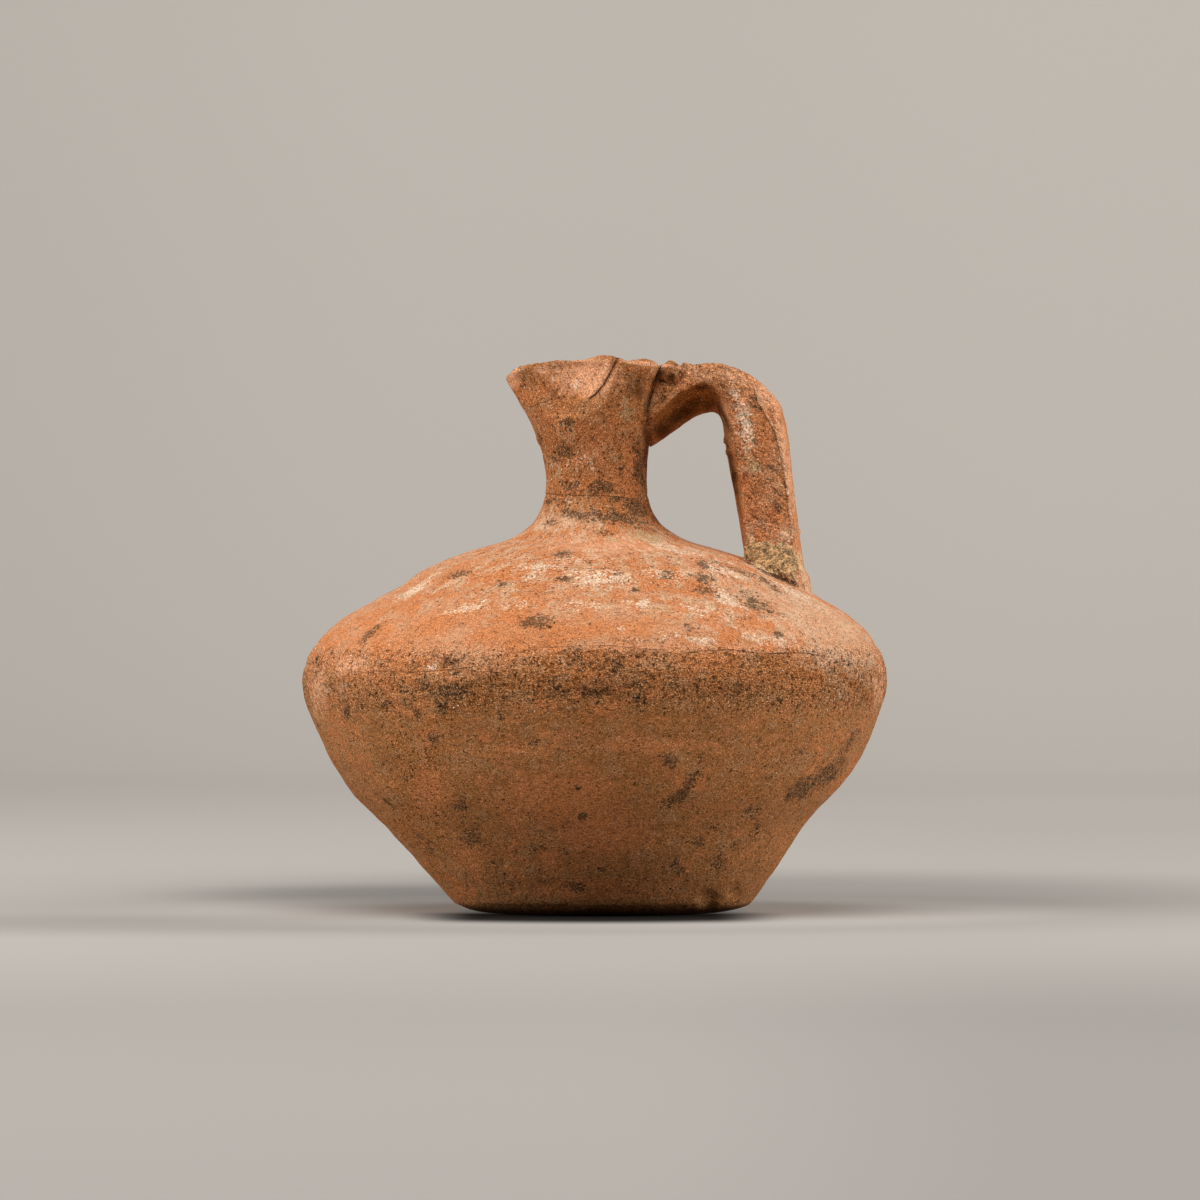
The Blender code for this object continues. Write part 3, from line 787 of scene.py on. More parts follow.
def noise(place, scale, detail=2.0, roughness=0.5):
    """Cloudy noise round 0.5, with about that many clouds in a metre."""
    return result(place.tree, "ShaderNodeTexNoise", {
        "Vector": place, "Scale": scale, "Detail": detail, "Roughness": roughness})


def spots(place, spacing, radius, share):
    """1 in the middle of scattered round spots and 0 outside them, for a share of the cells."""
    cells = node(place.tree, "ShaderNodeTexVoronoi", {"Vector": place, "Scale": 1.0 / spacing})
    chosen = Wire(cells.outputs["Color"]).parts()[0].eased(1.0 - share, 1.0 - share + 0.02)
    return Wire(cells.outputs["Distance"]).eased(radius / spacing, 0.0) * chosen


def new_tree(name, inputs):
    """A Geometry Nodes tree with a geometry in and out and the named inputs, and its input node."""
    tree = bpy.data.node_groups.new(name, "GeometryNodeTree")
    tree.interface.new_socket("Geometry", in_out="INPUT", socket_type="NodeSocketGeometry")
    tree.interface.new_socket("Geometry", in_out="OUTPUT", socket_type="NodeSocketGeometry")
    for label, kind in inputs.items():
        tree.interface.new_socket(label, in_out="INPUT", socket_type="NodeSocket" + kind)
    entry = tree.nodes.new("NodeGroupInput")
    return tree, {output.name: Wire(output) for output in entry.outputs if output.name}


def finish_tree(tree, geometry, material):
    """Realizes the instances, sets the material and ends the tree."""
    real = result(tree, "GeometryNodeRealizeInstances", {0: geometry})
    painted = result(tree, "GeometryNodeSetMaterial", {"Geometry": real, "Material": material})
    node(tree, "NodeGroupOutput", {0: painted})


def run_tree(piece, tree, values):
    """Runs a tree on a piece with its inputs set, and leaves the piece a plain mesh."""
    modifier = piece.modifiers.new(tree.name, "NODES")
    modifier.node_group = tree
    for item in tree.interface.items_tree:
        if item.in_out == "INPUT" and item.name in values:
            modifier[item.identifier] = values[item.name]
    settle(piece)


def settle(piece):
    """Turns a piece and its modifiers into a plain mesh."""
    bpy.context.view_layer.update()
    graph = bpy.context.evaluated_depsgraph_get()
    mesh = bpy.data.meshes.new_from_object(
        piece.evaluated_get(graph), preserve_all_data_layers=True, depsgraph=graph)
    worn_out = piece.data
    piece.modifiers.clear()
    piece.data = mesh
    bpy.data.meshes.remove(worn_out)
    mesh.name = piece.name


def named(tree, name):
    """A number that the mesh's points carry."""
    return result(tree, "GeometryNodeInputNamedAttribute", {"Name": name}, "Attribute", data_type="FLOAT")


def carried(mesh, name, values):
    """Gives the mesh's points a number each."""
    layer = mesh.attributes.get(name) or mesh.attributes.new(name, "FLOAT", "POINT")
    layer.data.foreach_set("value", np.asarray(values, dtype=np.float32))


# Sizes that the wheel's tree takes by name
WHEEL_SIZES = {
    "Spout Radius": MOUTH_RADIUS, "Side Lobe Radius": SIDE_LOBE_RADIUS,
    "Handle Side Radius": HANDLE_SIDE_RADIUS, "Side Lobe Azimuth": SIDE_LOBE_AZIMUTH,
    "Side Lobe Rise": SIDE_LOBE_RISE, "Handle Side Rise": HANDLE_SIDE_RISE,
    "Pinch Fold": PINCH_FOLD_AZIMUTH, "Pinch Spout": PINCH_SPOUT_AZIMUTH,
    "Pinch Depth": PINCH_DEPTH, "Pinch Height": PINCH_HEIGHT, "Mouth Level": MOUTH_LEVEL,
}


def throwing_tree():
    """The wheel: turns the profile round, draws the lobes in, presses the pinches and moves the axis."""
    tree, given = new_tree("wheel_throwing", {
        "Turns": "Int", "Material": "Material", **dict.fromkeys(WHEEL_SIZES, "Float")})
    profile, mouth, side_lobe = given["Geometry"], given["Mouth Level"], given["Side Lobe Azimuth"]
    rows = result(tree, "GeometryNodeAttributeDomainSize", {0: profile}, "Point Count")
    grid = result(tree, "GeometryNodeMeshGrid", {
        "Size X": 1.0, "Size Y": 1.0, "Vertices X": given["Turns"] + 1.0, "Vertices Y": rows}, "Mesh")
    across, along, _ = result(tree, "GeometryNodeInputPosition").parts()
    row = ((along + 0.5) * (rows - 1.0)).math("ROUND")

    def read(value, kind):
        """What the profile carries at this row of the grid."""
        return result(tree, "GeometryNodeSampleIndex", {
            "Geometry": profile, "Value": value, "Index": row}, data_type=kind)

    radius, _, level = read(result(tree, "GeometryNodeInputPosition"), "FLOAT_VECTOR").parts()
    flare = read(named(tree, "flare"), "FLOAT")
    shift = read(named(tree, "shift"), "FLOAT")

    turn = across * math.tau
    azimuth = (across * 360.0).unsigned()
    height = level.math("MINIMUM", mouth)
    drawn_in = (given["Spout Radius"] - given["Side Lobe Radius"]) * azimuth.eased(180.0, side_lobe)
    drawn_in += (given["Side Lobe Radius"] - given["Handle Side Radius"]) * azimuth.eased(side_lobe, 0.0)

    share = (azimuth - given["Pinch Fold"]) / (given["Pinch Spout"] - given["Pinch Fold"])
    share = share.within(0.0, 1.0)
    bottom = given["Pinch Height"] * (share * share.rest() * 4.0).math("SQRT")
    hollow = ((mouth - height) / bottom).rest().at_least(0.0)
    pressed = (share * math.pi).math("SINE").at_least(0.0) ** (share + 1.0)
    pinch = given["Pinch Depth"] * pressed * hollow

    risen = given["Side Lobe Rise"] - given["Handle Side Rise"]
    rise = given["Handle Side Rise"] + risen * azimuth.eased(0.0, 90.0)
    rise *= azimuth.eased(180.0, (side_lobe + 180.0) * 0.5)
    rise *= height.eased(mouth - given["Pinch Height"], mouth)

    radius = radius - drawn_in * flare - pinch
    stood = place_of(radius * turn.math("COSINE") + shift, radius * turn.math("SINE"), level + rise)
    thrown_wall = result(tree, "GeometryNodeSetPosition", {"Geometry": grid, "Position": stood})
    closed = result(tree, "GeometryNodeMergeByDistance", {"Geometry": thrown_wall, "Distance": WELD})
    finish_tree(tree, closed, given["Material"])
    return tree


def outline_mesh(name, profile):
    """A line of edges through the profile's points, which stand at radius and level."""
    mesh = bpy.data.meshes.new(name)
    edges = [(index, index + 1) for index in range(len(profile) - 1)]
    mesh.from_pydata([(radius, 0.0, level) for radius, level in profile], edges, [])
    return mesh


def thrown(name, profile, turns, material, tree):
    """A shape thrown on the wheel from its profile."""
    mesh = outline_mesh(name, profile)
    carried(mesh, "flare", flare_at(profile[:, 1]))
    carried(mesh, "shift", shift_at(profile[:, 1]))
    pot = linked(name, mesh)
    run_tree(pot, tree, {"Turns": turns, "Material": material, **WHEEL_SIZES})
    facing_out(pot.data)
    return pot


def facing_out(mesh):
    """Turns the faces of a closed mesh outwards."""
    form = bmesh.new()
    form.from_mesh(mesh)
    bmesh.ops.recalc_face_normals(form, faces=form.faces)
    if form.calc_volume(signed=True) < 0.0:
        bmesh.ops.reverse_faces(form, faces=form.faces)
    form.to_mesh(mesh)
    form.free()


def linked(name, mesh):
    """A new object in the scene that holds the mesh."""
    made = bpy.data.objects.new(name, mesh)
    bpy.context.scene.collection.objects.link(made)
    return made


def handle_frame():
    """The handle's outward and sideways directions."""
    turn = math.radians(HANDLE_AZIMUTH)
    return np.array([math.cos(turn), math.sin(turn), 0.0]), np.array([math.sin(turn), -math.cos(turn), 0.0])


def handle_path():
    """The strap's middle line as reach and level, and the index where each run ends."""
    rim = RIM_LEVEL + HANDLE_SIDE_RISE
    root = np.array([NECK_RADIUS - NECK_WALL, rim - ROOT_DROP])
    strap = np.array([STRAP_REACH, rim - STRAP_DROP])
    limb = np.array([LIMB_REACH, strap[1] - BEND_HEIGHT])
    foot = np.array([HANDLE_FOOT_REACH, shoulder_level(HANDLE_FOOT_REACH)])
    down = (foot - limb) / np.linalg.norm(foot - limb)
    limb_slope = math.degrees(math.atan2(down[1], down[0]))
    sunk = foot + down * LIMB_THICKNESS / 2.0
    points = [root]
    marks = [0]
    for start, start_slope, end, end_slope in (
        (root, ROOT_SLOPE, strap, STRAP_SLOPE),
        (strap, STRAP_SLOPE, limb, limb_slope),
        (limb, limb_slope, foot, limb_slope),
        (foot, limb_slope, sunk, limb_slope),
    ):
        facets = round(math.dist(start, end) / HANDLE_ROW)
        points.extend(bend(start, start_slope, end, end_slope, facets)[1:])
        marks.append(len(points) - 1)
    return np.array(points), marks


def handle_sections():
    """Centre, side, face, half width and half thickness of the strap at each point of its path."""
    path, marks = handle_path()
    index = np.arange(len(path))
    to_strap = ease(index, marks[0], marks[1])
    to_limb = ease(index, marks[1], marks[2])
    to_foot = ease(index, marks[2], marks[3])
    foot_level = path[marks[3]][1]
    flare = HANDLE_FOOT_FLARE * (1.0 - ease(path[:, 1], foot_level - FLARE_HEIGHT, foot_level))
    thickness = ROOT_THICKNESS + (STRAP_THICKNESS - ROOT_THICKNESS) * to_strap
    thickness += (LIMB_THICKNESS - STRAP_THICKNESS) * to_limb
    thickness += (HANDLE_FOOT_THICKNESS - LIMB_THICKNESS) * to_foot
    roll = np.radians(STRAP_ROLL + (LIMB_ROLL - STRAP_ROLL) * to_limb)[:, None]
    runs = np.gradient(path, axis=0)
    runs /= np.linalg.norm(runs, axis=1)[:, None]
    outward, sideways = handle_frame()
    upright = np.array([0.0, 0.0, 1.0])
    normal = outward * -runs[:, 1:] + upright * runs[:, :1]
    side = sideways * np.cos(roll) + normal * np.sin(roll)
    face = normal * np.cos(roll) - sideways * np.sin(roll)
    centre = outward * path[:, :1] + upright * path[:, 1:] + np.array([NECK_SHIFT, 0.0, 0.0])
    return centre, side, face, (HANDLE_WIDTH + flare) / 2.0, (thickness + flare) / 2.0


def rounded(value):
    """A coordinate of the strap's rounded, squarish section."""
    return np.sign(value) * np.abs(value) ** (2.0 / SECTION_SQUARENESS)


def handle_strap():
    """The handle's clay as a loft through its sections."""
    centre, side, face, half_width, half_thickness = handle_sections()
    angle = np.linspace(0.0, math.tau, HANDLE_SIDES, endpoint=False)
    across, through = rounded(np.cos(angle)), rounded(np.sin(angle))
    form = bmesh.new()
    rings = []
    for row in range(len(centre)):
        spread = np.outer(across * half_width[row], side[row])
        spread += np.outer(through * half_thickness[row], face[row])
        rings.append([form.verts.new(centre[row] + point) for point in spread])
    for near, far in zip(rings, rings[1:]):
        for step in range(HANDLE_SIDES):
            following = (step + 1) % HANDLE_SIDES
            form.faces.new((near[step], near[following], far[following], far[step]))
    form.faces.new(rings[0][::-1])
    form.faces.new(rings[-1])
    return from_form(form, "handle_strap")


def root_curl():
    """The curl of clay beside the handle's root, half sunk in it and hollow towards the viewer."""
    form = bmesh.new()
    bmesh.ops.create_uvsphere(
        form, u_segments=CURL_SIDES, v_segments=CURL_SIDES // 2, radius=CURL_SIZE / 2.0)
    for vertex in form.verts:
        across, _, up = vertex.co / (CURL_SIZE / 2.0)
        off_hollow = math.hypot(across - CURL_HOLLOW_AT[0], (up - CURL_HOLLOW_AT[1]) * CURL_HOLLOW_FLAT)
        if vertex.co.y < 0.0:
            vertex.co.y += CURL_HOLLOW * (1.0 - ease(off_hollow, 0.05, 0.95))
        vertex.co.z *= CURL_FLATNESS + CURL_WAVE * math.sin(3.0 * across + 1.0)
        vertex.co.x *= 1.0 + CURL_WAVE * math.sin(4.0 * up + 0.6)
    azimuth = math.radians(CURL_AZIMUTH)
    reach = HANDLE_SIDE_RADIUS + CURL_OUT
    level = RIM_LEVEL + HANDLE_SIDE_RISE - CURL_SINK
    place = Vector((reach * math.cos(azimuth) + NECK_SHIFT, reach * math.sin(azimuth), level))
    bmesh.ops.translate(form, vec=place, verts=form.verts)
    return from_form(form, "root_curl")


def from_form(form, name):
    """An object that holds the finished form, its faces outwards."""
    bmesh.ops.recalc_face_normals(form, faces=form.faces)
    mesh = bpy.data.meshes.new(name)
    form.to_mesh(mesh)
    form.free()
    return linked(name, mesh)


def combine(target, other, operation):
    """Joins the other object to the target, or cuts it away, and takes the other one off the scene."""
    boolean = target.modifiers.new(operation.lower(), "BOOLEAN")
    boolean.operation = operation
    boolean.solver = "MANIFOLD"
    boolean.object = other
    settle(target)


def points_of(mesh):
    """The mesh's points and their normals as arrays."""
    count = len(mesh.vertices)
    points, normals = np.empty(count * 3), np.empty(count * 3)
    mesh.vertices.foreach_get("co", points)
    mesh.vertices.foreach_get("normal", normals)
    return points.reshape(-1, 3), normals.reshape(-1, 3)


def seen(points):
    """Where points show in the view, in pixels from its upper left corner, and metres to a pixel there."""
    eye, aim = np.array(CAMERA_EYE), np.array(CAMERA_AIM)
    forward = (aim - eye) / np.linalg.norm(aim - eye)
    right = np.array([1.0, 0.0, 0.0])
    up = np.cross(right, forward)
    away = points - eye
    depth = away @ forward
    scale = PHOTO_PIXELS / FIELD * np.linalg.norm(aim - eye) / depth
    middle = PHOTO_PIXELS / 2.0
    return np.column_stack([middle + away @ right * scale, middle - away @ up * scale]), 1.0 / scale


def near_side(points, normals):
    """1 where the surface faces the viewer and 0 where it turns away."""
    towards = np.array(CAMERA_EYE) - points
    towards /= np.linalg.norm(towards, axis=1)[:, None]
    return ease(np.sum(normals * towards, axis=1), 0.02, 0.18)


def inside_share(points, normals):
    """1 on the inner wall and floor, 0 outside."""
    level = points[:, 2]
    middle = inner_wall(0.5)
    across = points[:, :2] - np.column_stack([shift_at(level), np.zeros(len(level))])
    radius = np.linalg.norm(across, axis=1)
    azimuth = np.degrees(np.abs(np.arctan2(across[:, 1], across[:, 0])))
    drawn_in = (MOUTH_RADIUS - SIDE_LOBE_RADIUS) * (1.0 - ease(azimuth, SIDE_LOBE_AZIMUTH, 180.0))
    drawn_in += (SIDE_LOBE_RADIUS - HANDLE_SIDE_RADIUS) * (1.0 - ease(azimuth, 0.0, SIDE_LOBE_AZIMUTH))
    limit = np.interp(level, middle[:, 1], middle[:, 0]) - drawn_in * flare_at(level)
    outwards = np.sum(normals[:, :2] * across, axis=1) / np.maximum(radius, WELD)
    in_hollow = (radius < limit) & (level > FLOOR / 2.0)
    in_mouth = level > MOUTH_LEVEL - PINCH_HEIGHT
    return np.where(in_hollow, np.where(in_mouth, ease(outwards, 0.35, -0.15), 1.0), 0.0)


def handle_place(points):
    """How much each point belongs to the handle, and its place across and through the strap, from -1 to 1."""
    centre, side, face, half_width, half_thickness = handle_sections()
    share, across, through = (np.zeros(len(points)) for _ in range(3))
    level = points[:, 2]
    reach = np.hypot(points[:, 0] - NECK_SHIFT, points[:, 1])
    clear = reach > radius_at(np.minimum(level, MOUTH_LEVEL)) + HANDLE_CLEAR
    beside = (points[:, 0] > HANDLE_FROM) & (level > NECK_ROOT_LEVEL - HANDLE_BELOW_NECK)
    near = np.flatnonzero(clear & beside)
    if len(near):
        away = np.linalg.norm(points[near][:, None] - centre[None, ::HANDLE_STRIDE], axis=2)
        nearest = np.argmin(away, axis=1) * HANDLE_STRIDE
        offset = points[near] - centre[nearest]
        across[near] = np.sum(offset * side[nearest], axis=1) / half_width[nearest]
        through[near] = np.sum(offset * face[nearest], axis=1) / half_thickness[nearest]
        reach_share = np.maximum(np.abs(across[near]), np.abs(through[near]))
        share[near] = ease(reach_share, 1.5, 1.2)
    return share, across, through


def off_line(places, line):
    """Signed distance in pixels of each place from a line, and how far along it the nearest point is."""
    best = np.full(len(places), np.inf)
    signed = np.zeros(len(places))
    along = np.zeros(len(places))
    runs = np.array(line, dtype=float)
    for index, (start, end) in enumerate(zip(runs, runs[1:])):
        run = end - start
        away = places - start
        share = np.clip(away @ run / (run @ run), 0.0, 1.0)
        distance = np.linalg.norm(away - share[:, None] * run, axis=1)
        side = np.sign(run[0] * away[:, 1] - run[1] * away[:, 0])
        closer = distance < best
        best[closer] = distance[closer]
        signed[closer] = (distance * side)[closer]
        along[closer] = index + share[closer]
    return signed, along / (len(runs) - 1)


def line_field(places, pixel, front, lines):
    """Signed distance to the nearest line, in half widths of it, and how strong that line is there."""
    nearest = np.full(len(places), FAR_OFF)
    signed_there = np.full(len(places), FAR_OFF)
    strength_there = np.zeros(len(places))
    for line, strength, half_width in lines:
        signed, along = off_line(places, line)
        signed = signed * pixel
        closer = np.abs(signed) < nearest
        nearest[closer] = np.abs(signed)[closer]
        signed_there[closer] = (signed / half_width)[closer]
        share = front * ease(along, 0.0, 0.06) * ease(along, 1.0, 0.9) * ease(np.abs(signed), *CRACK_REACH)
        strength_there[closer] = (share * strength)[closer]
    return signed_there, strength_there


def under_handle(places, pixel, front, handle):
    """Signed distance past the handle's lower edge, in millimetres, and how dark the painted shade on its
    underside is there.
    """
    edge = STRAP_EDGE + LIMB_EDGE[1:]
    signed, along = off_line(places, edge)
    strength = ease(along, 0.62, 0.40) * 0.60 + 0.35
    beside = ease(places[:, 0], *SHADOW_FROM) * ease(along, 1.0, 0.96)
    away = np.clip(signed * pixel * MILLIMETRES, -SHADOW_REACH, SHADOW_REACH)
    return away, strength * beside * ease(handle, 0.3, 0.9) * front


def carving(points, normals):
    """How far marks of hand, tool and damage raise (+) or sink (-) each point."""
    places, pixel = seen(points)
    front = near_side(points, normals) * (1.0 - inside_share(points, normals))
    depth = np.zeros(len(points))
    for line, width, sunk in CREASES:
        away, along = off_line(places, line)
        cut = np.clip(1.0 - np.abs(away) * pixel / width, 0.0, 1.0)
        depth -= sunk * cut * front * ease(along, 1.0, 0.85)
    for line, width, height in RIDGES:
        away, along = off_line(places, line)
        raised = ease(np.abs(away) * pixel, width, 0.0)
        depth += height * raised * front * ease(along, 0.0, 0.1) * ease(along, 1.0, 0.9)
    for place, radius, sunk in CHIPS:
        away = np.linalg.norm(places - np.array(place), axis=1) * pixel / radius
        depth -= sunk * ease(away, 1.0, 0.3) * front
    on_rim = ease(normals[:, 2], 0.2, 0.7) * ease(points[:, 2], MOUTH_LEVEL - RIM_BAND, MOUTH_LEVEL)
    on_rim *= ease(-points[:, 1], *NEAR_RIM)
    for place, radius, sunk in RIM_CHIPS:
        away = np.linalg.norm(places - np.array(place), axis=1) * pixel / radius
        depth -= sunk * ease(away, 1.0, 0.2) * np.maximum(on_rim, front)
    away, _ = off_line(places, FOLD_CRACK)
    left_of_fold = ease(places[:, 0] - np.interp(places[:, 1], *np.array(FOLD_CRACK).T[::-1]), 1.0, -1.0)
    in_mouth = ease(points[:, 2], MOUTH_LEVEL - PINCH_HEIGHT, MOUTH_LEVEL - PINCH_HEIGHT / 2.0)
    depth += FOLD_STEP * left_of_fold * in_mouth * front * ease(np.abs(away) * pixel, FOLD_STEP_WIDTH, 0.0)
    worn_edge = ease(points[:, 2], WORN_EDGE_LEVEL, WORN_EDGE_LEVEL - WORN_EDGE_FALL)
    worn_edge *= ease(points[:, 2], 0.0, WORN_EDGE_START)
    depth -= WORN_EDGE_DEPTH * worn_edge * ease(-points[:, 1], *WORN_EDGE_NEAR)
    on_body = (1.0 - ease(handle_place(points)[0], 0.0, 0.5)) * (1.0 - inside_share(points, normals))
    for level, width, sunk in WHEEL_LINES:
        depth -= sunk * np.clip(1.0 - np.abs(points[:, 2] - level) / width, 0.0, 1.0) * on_body
    return depth


def worn_share(points, handle, through, inside):
    """How coarse the surface is: the belly's edge and the handle's torn sides most, the shoulder least."""
    level = points[:, 2]
    band = ease(level, *COARSE_FROM) * (1.0 - ease(level, *COARSE_UP_TO))
    lower = 1.0 - ease(level, *LOWER_WALL)
    neck = ease(level, NECK_ROOT_LEVEL, NECK_LEVEL) * (1.0 - handle)
    worn = 0.16 + 0.60 * band + 0.13 * lower + 0.22 * neck
    worn = worn * (1.0 - handle) + handle * (0.25 + 0.75 * ease(np.abs(through), 0.95, 0.6))
    return worn * (1.0 - 0.7 * inside)


# Settings that the wear's tree takes by name
WEAR = ("ripple", "lump", "grain", "pit", "tear")


def wear_tree():
    """The wear of hand, wheel and burial: moves each point of the skin along its normal."""
    tree, given = new_tree("burial_wear", {
        "Material": "Material", **{name.title(): "Float" for name in WEAR}})
    place = result(tree, "GeometryNodeInputPosition")
    level = place.parts()[2]
    worn, inside, handle, carve = (named(tree, name) for name in ("worn", "inside", "handle", "carve"))
    ripple = (noise(place.stretched(7.0, 7.0, 150.0), 1.0, 1.0) - 0.5) * given["Ripple"] * 2.0
    ripple *= handle.rest() * (inside + 1.0)
    lump = (noise(place, 34.0, 2.0) - 0.5) * given["Lump"] * 2.0
    coarse = noise(place, 330.0, 3.0, 0.6) - 0.5
    fine = noise(place, 900.0, 2.0, 0.6) - 0.5
    grain = (coarse + fine * 0.6) * given["Grain"] * worn
    pits = spots(place, *SMALL_PITS) * 0.5 + spots(place, *LARGE_PITS)
    pits += noise(place, 480.0, 3.0, 0.65).eased(0.56, 0.66)
    pits = pits * given["Pit"] * (worn + 0.25) * inside.rest()
    torn = noise(place.stretched(1.0, 1.0, 1.7), 240.0, 3.0, 0.62) - 0.5
    tear = torn * given["Tear"] * handle * (worn - 0.25).at_least(0.0)
    total = (ripple + lump + grain + tear - pits) * level.eased(0.0, STANDING_FALL) + carve
    offset = result(tree, "GeometryNodeInputNormal").scaled(total)
    moved = result(tree, "GeometryNodeSetPosition", {"Geometry": given["Geometry"], "Offset": offset})
    finish_tree(tree, moved, given["Material"])
    return tree


def scattering_tree():
    """Scatters small lumps over a surface and keeps only the lumps, each half sunk in it."""
    tree, given = new_tree("loose_grains", {
        "Count": "Float", "Largest": "Float", "Squash": "Float", "Roughness": "Float", "Seed": "Int",
        "Material": "Material"})

    def drawn(low, high, seed):
        """Three random numbers for each point."""
        return result(tree, "FunctionNodeRandomValue", {
            0: (low,) * 3, 1: (high,) * 3, "Seed": seed}, data_type="FLOAT_VECTOR")

    points = result(tree, "GeometryNodeDistributePointsOnFaces", {
        "Mesh": given["Geometry"], "Density": given["Count"], "Seed": given["Seed"]}, "Points")
    lump = result(tree, "GeometryNodeMeshIcoSphere", {"Radius": given["Largest"], "Subdivisions": 1})
    x, y, z = drawn(0.25, 1.0, given["Seed"] + 1.0).parts()
    lumps = result(tree, "GeometryNodeInstanceOnPoints", {
        "Points": points, "Instance": lump, "Rotation": drawn(0.0, math.tau, given["Seed"]),
        "Scale": place_of(x, y, z * given["Squash"])})
    real = result(tree, "GeometryNodeRealizeInstances", {0: lumps})
    place = result(tree, "GeometryNodeInputPosition")
    uneven = result(tree, "ShaderNodeTexNoise", {"Vector": place, "Scale": LUMP_NOISE}, "Color")
    centred = result(tree, "ShaderNodeVectorMath", {0: uneven, 1: (0.5, 0.5, 0.5)}, operation="SUBTRACT")
    rough = result(tree, "GeometryNodeSetPosition", {
        "Geometry": real, "Offset": centred.scaled(given["Roughness"])})
    finish_tree(tree, rough, given["Material"])
    return tree


def strewn(name, skin, wanted, tree, material, count, largest, squash, seed):
    """Grains strewn over the wanted faces of the skin, as a piece of their own."""
    form = bmesh.new()
    form.from_mesh(skin.data)
    form.faces.ensure_lookup_table()
    bmesh.ops.delete(
        form, geom=[face for face, keep in zip(form.faces, wanted) if not keep], context="FACES")
    area = sum(face.calc_area() for face in form.faces)
    mesh = bpy.data.meshes.new(name)
    form.to_mesh(mesh)
    form.free()
    piece = linked(name, mesh)
    run_tree(piece, tree, {
        "Count": count / area, "Largest": largest, "Squash": squash, "Roughness": largest,
        "Seed": seed, "Material": material})
    piece.data.shade_flat()
    finished(piece, material)


def face_values(mesh, name):
    """The mean of the numbers that each face's points carry."""
    values = np.empty(len(mesh.vertices), dtype=np.float32)
    mesh.attributes[name].data.foreach_get("value", values)
    starts = np.empty(len(mesh.polygons), dtype=np.int32)
    corners = np.empty(len(mesh.loops), dtype=np.int32)
    mesh.polygons.foreach_get("loop_start", starts)
    mesh.loops.foreach_get("vertex_index", corners)
    return np.add.reduceat(values[corners], starts) / np.diff(np.append(starts, len(corners)))


def soften_landing(mesh):
    """Rounds the inner corner where the handle's foot was smoothed on to the shoulder."""
    form = bmesh.new()
    form.from_mesh(mesh)
    outward, _ = handle_frame()
    level = shoulder_level(HANDLE_FOOT_REACH)
    middle = Vector(outward * HANDLE_FOOT_REACH + np.array([NECK_SHIFT, 0.0, level]))
    ring = [
        vertex for vertex in form.verts
        if (vertex.co - middle).length < HANDLE_WIDTH
        and abs(vertex.co.z - shoulder_level(math.hypot(vertex.co.x, vertex.co.y))) < FLARE_HEIGHT
    ]
    for _ in range(LANDING_SMOOTHINGS):
        bmesh.ops.smooth_vert(
            form, verts=ring, factor=0.5, use_axis_x=True, use_axis_y=True, use_axis_z=True)
    form.to_mesh(mesh)
    form.free()


def stain_and_shade_field(places, front, marks):
    """How deep each place lies in the nearest of its marks, stains and patches of painted shade and
    highlight: its strength in the middle, and below 0 outside.
    """
    field = np.full(len(places), -1.0)
    for across, down, half_length, half_width, tilt, strength in marks:
        turn = math.radians(tilt)
        away = places - np.array([across, down])
        along = (away[:, 0] * math.cos(turn) - away[:, 1] * math.sin(turn)) / half_length
        athwart = (away[:, 0] * math.sin(turn) + away[:, 1] * math.cos(turn)) / half_width
        field = np.maximum(field, strength - np.hypot(along, athwart) ** 1.3)
    return field * front - (1.0 - front)


# Names under which the skin carries each kind of stain, and its painted shade and highlights
STAINS_AND_PAINTED_LIGHT = {
    "soot": SOOT_MARKS, "chalk": CHALK_MARKS, "pale": PALE_AND_HIGHLIGHT_MARKS, "dust": DUST_MARKS, "olive": OLIVE_MARKS,
    "ember": EMBER_MARKS, "umber": UMBER_AND_SHADE_MARKS, "earth": EARTH_MARKS, "gloom": PAINTED_SHADE_MARKS,
}


def carry_stains_and_shades(mesh):
    """Gives the skin's points what its material needs: stains, dirt, painted shade and highlights, and which
    part they are on.
    """
    points, normals = points_of(mesh)
    inside = inside_share(points, normals)
    handle, _, through = handle_place(points)
    places, pixel = seen(points)
    front = near_side(points, normals) * (1.0 - inside)
    numbers = {name: stain_and_shade_field(places, front, marks) for name, marks in STAINS_AND_PAINTED_LIGHT.items()}
    past_crevice, _ = off_line(places, FOOT_CREVICE)
    numbers["earth"] = numbers["earth"] - 2.0 * ease(past_crevice, -1.0, 2.0)
    for name, (away, reach) in {
        "crack": line_field(places, pixel, front, CRACKS),
        "ridge": line_field(places, pixel, front, ((OUTER_RIDGE, 1.0, EDGE_WIDTH),)),
        "fold": line_field(places, pixel, front, ((FOLD_CRACK, 1.0, EDGE_WIDTH),)),
        "under": under_handle(places, pixel, front, handle),
    }.items():
        numbers[name], numbers[name + "_reach"] = away, reach
    past_ledge, _ = off_line(places, LEDGE)
    past_ledge = np.clip(past_ledge * pixel * MILLIMETRES, -LEDGE_REACH, LEDGE_REACH)
    past_ledge = past_ledge - LEDGE_REACH * ease(places[:, 0], *LEDGE_FADE)
    lower_down = np.clip((LEDGE_LEVEL - points[:, 2]) * MILLIMETRES, -LEDGE_REACH, LEDGE_REACH)
    numbers["ledge"] = lower_down + (past_ledge - lower_down) * front
    numbers |= {"inside": inside, "handle": handle, "near": front}
    numbers["worn"] = worn_share(points, handle, through, inside)
    for name, values in numbers.items():
        carried(mesh, name, values)


# Sockets of the mixing node that take and give colours
MIX_BASE, MIX_COAT, MIX_RESULT = 6, 7, 2


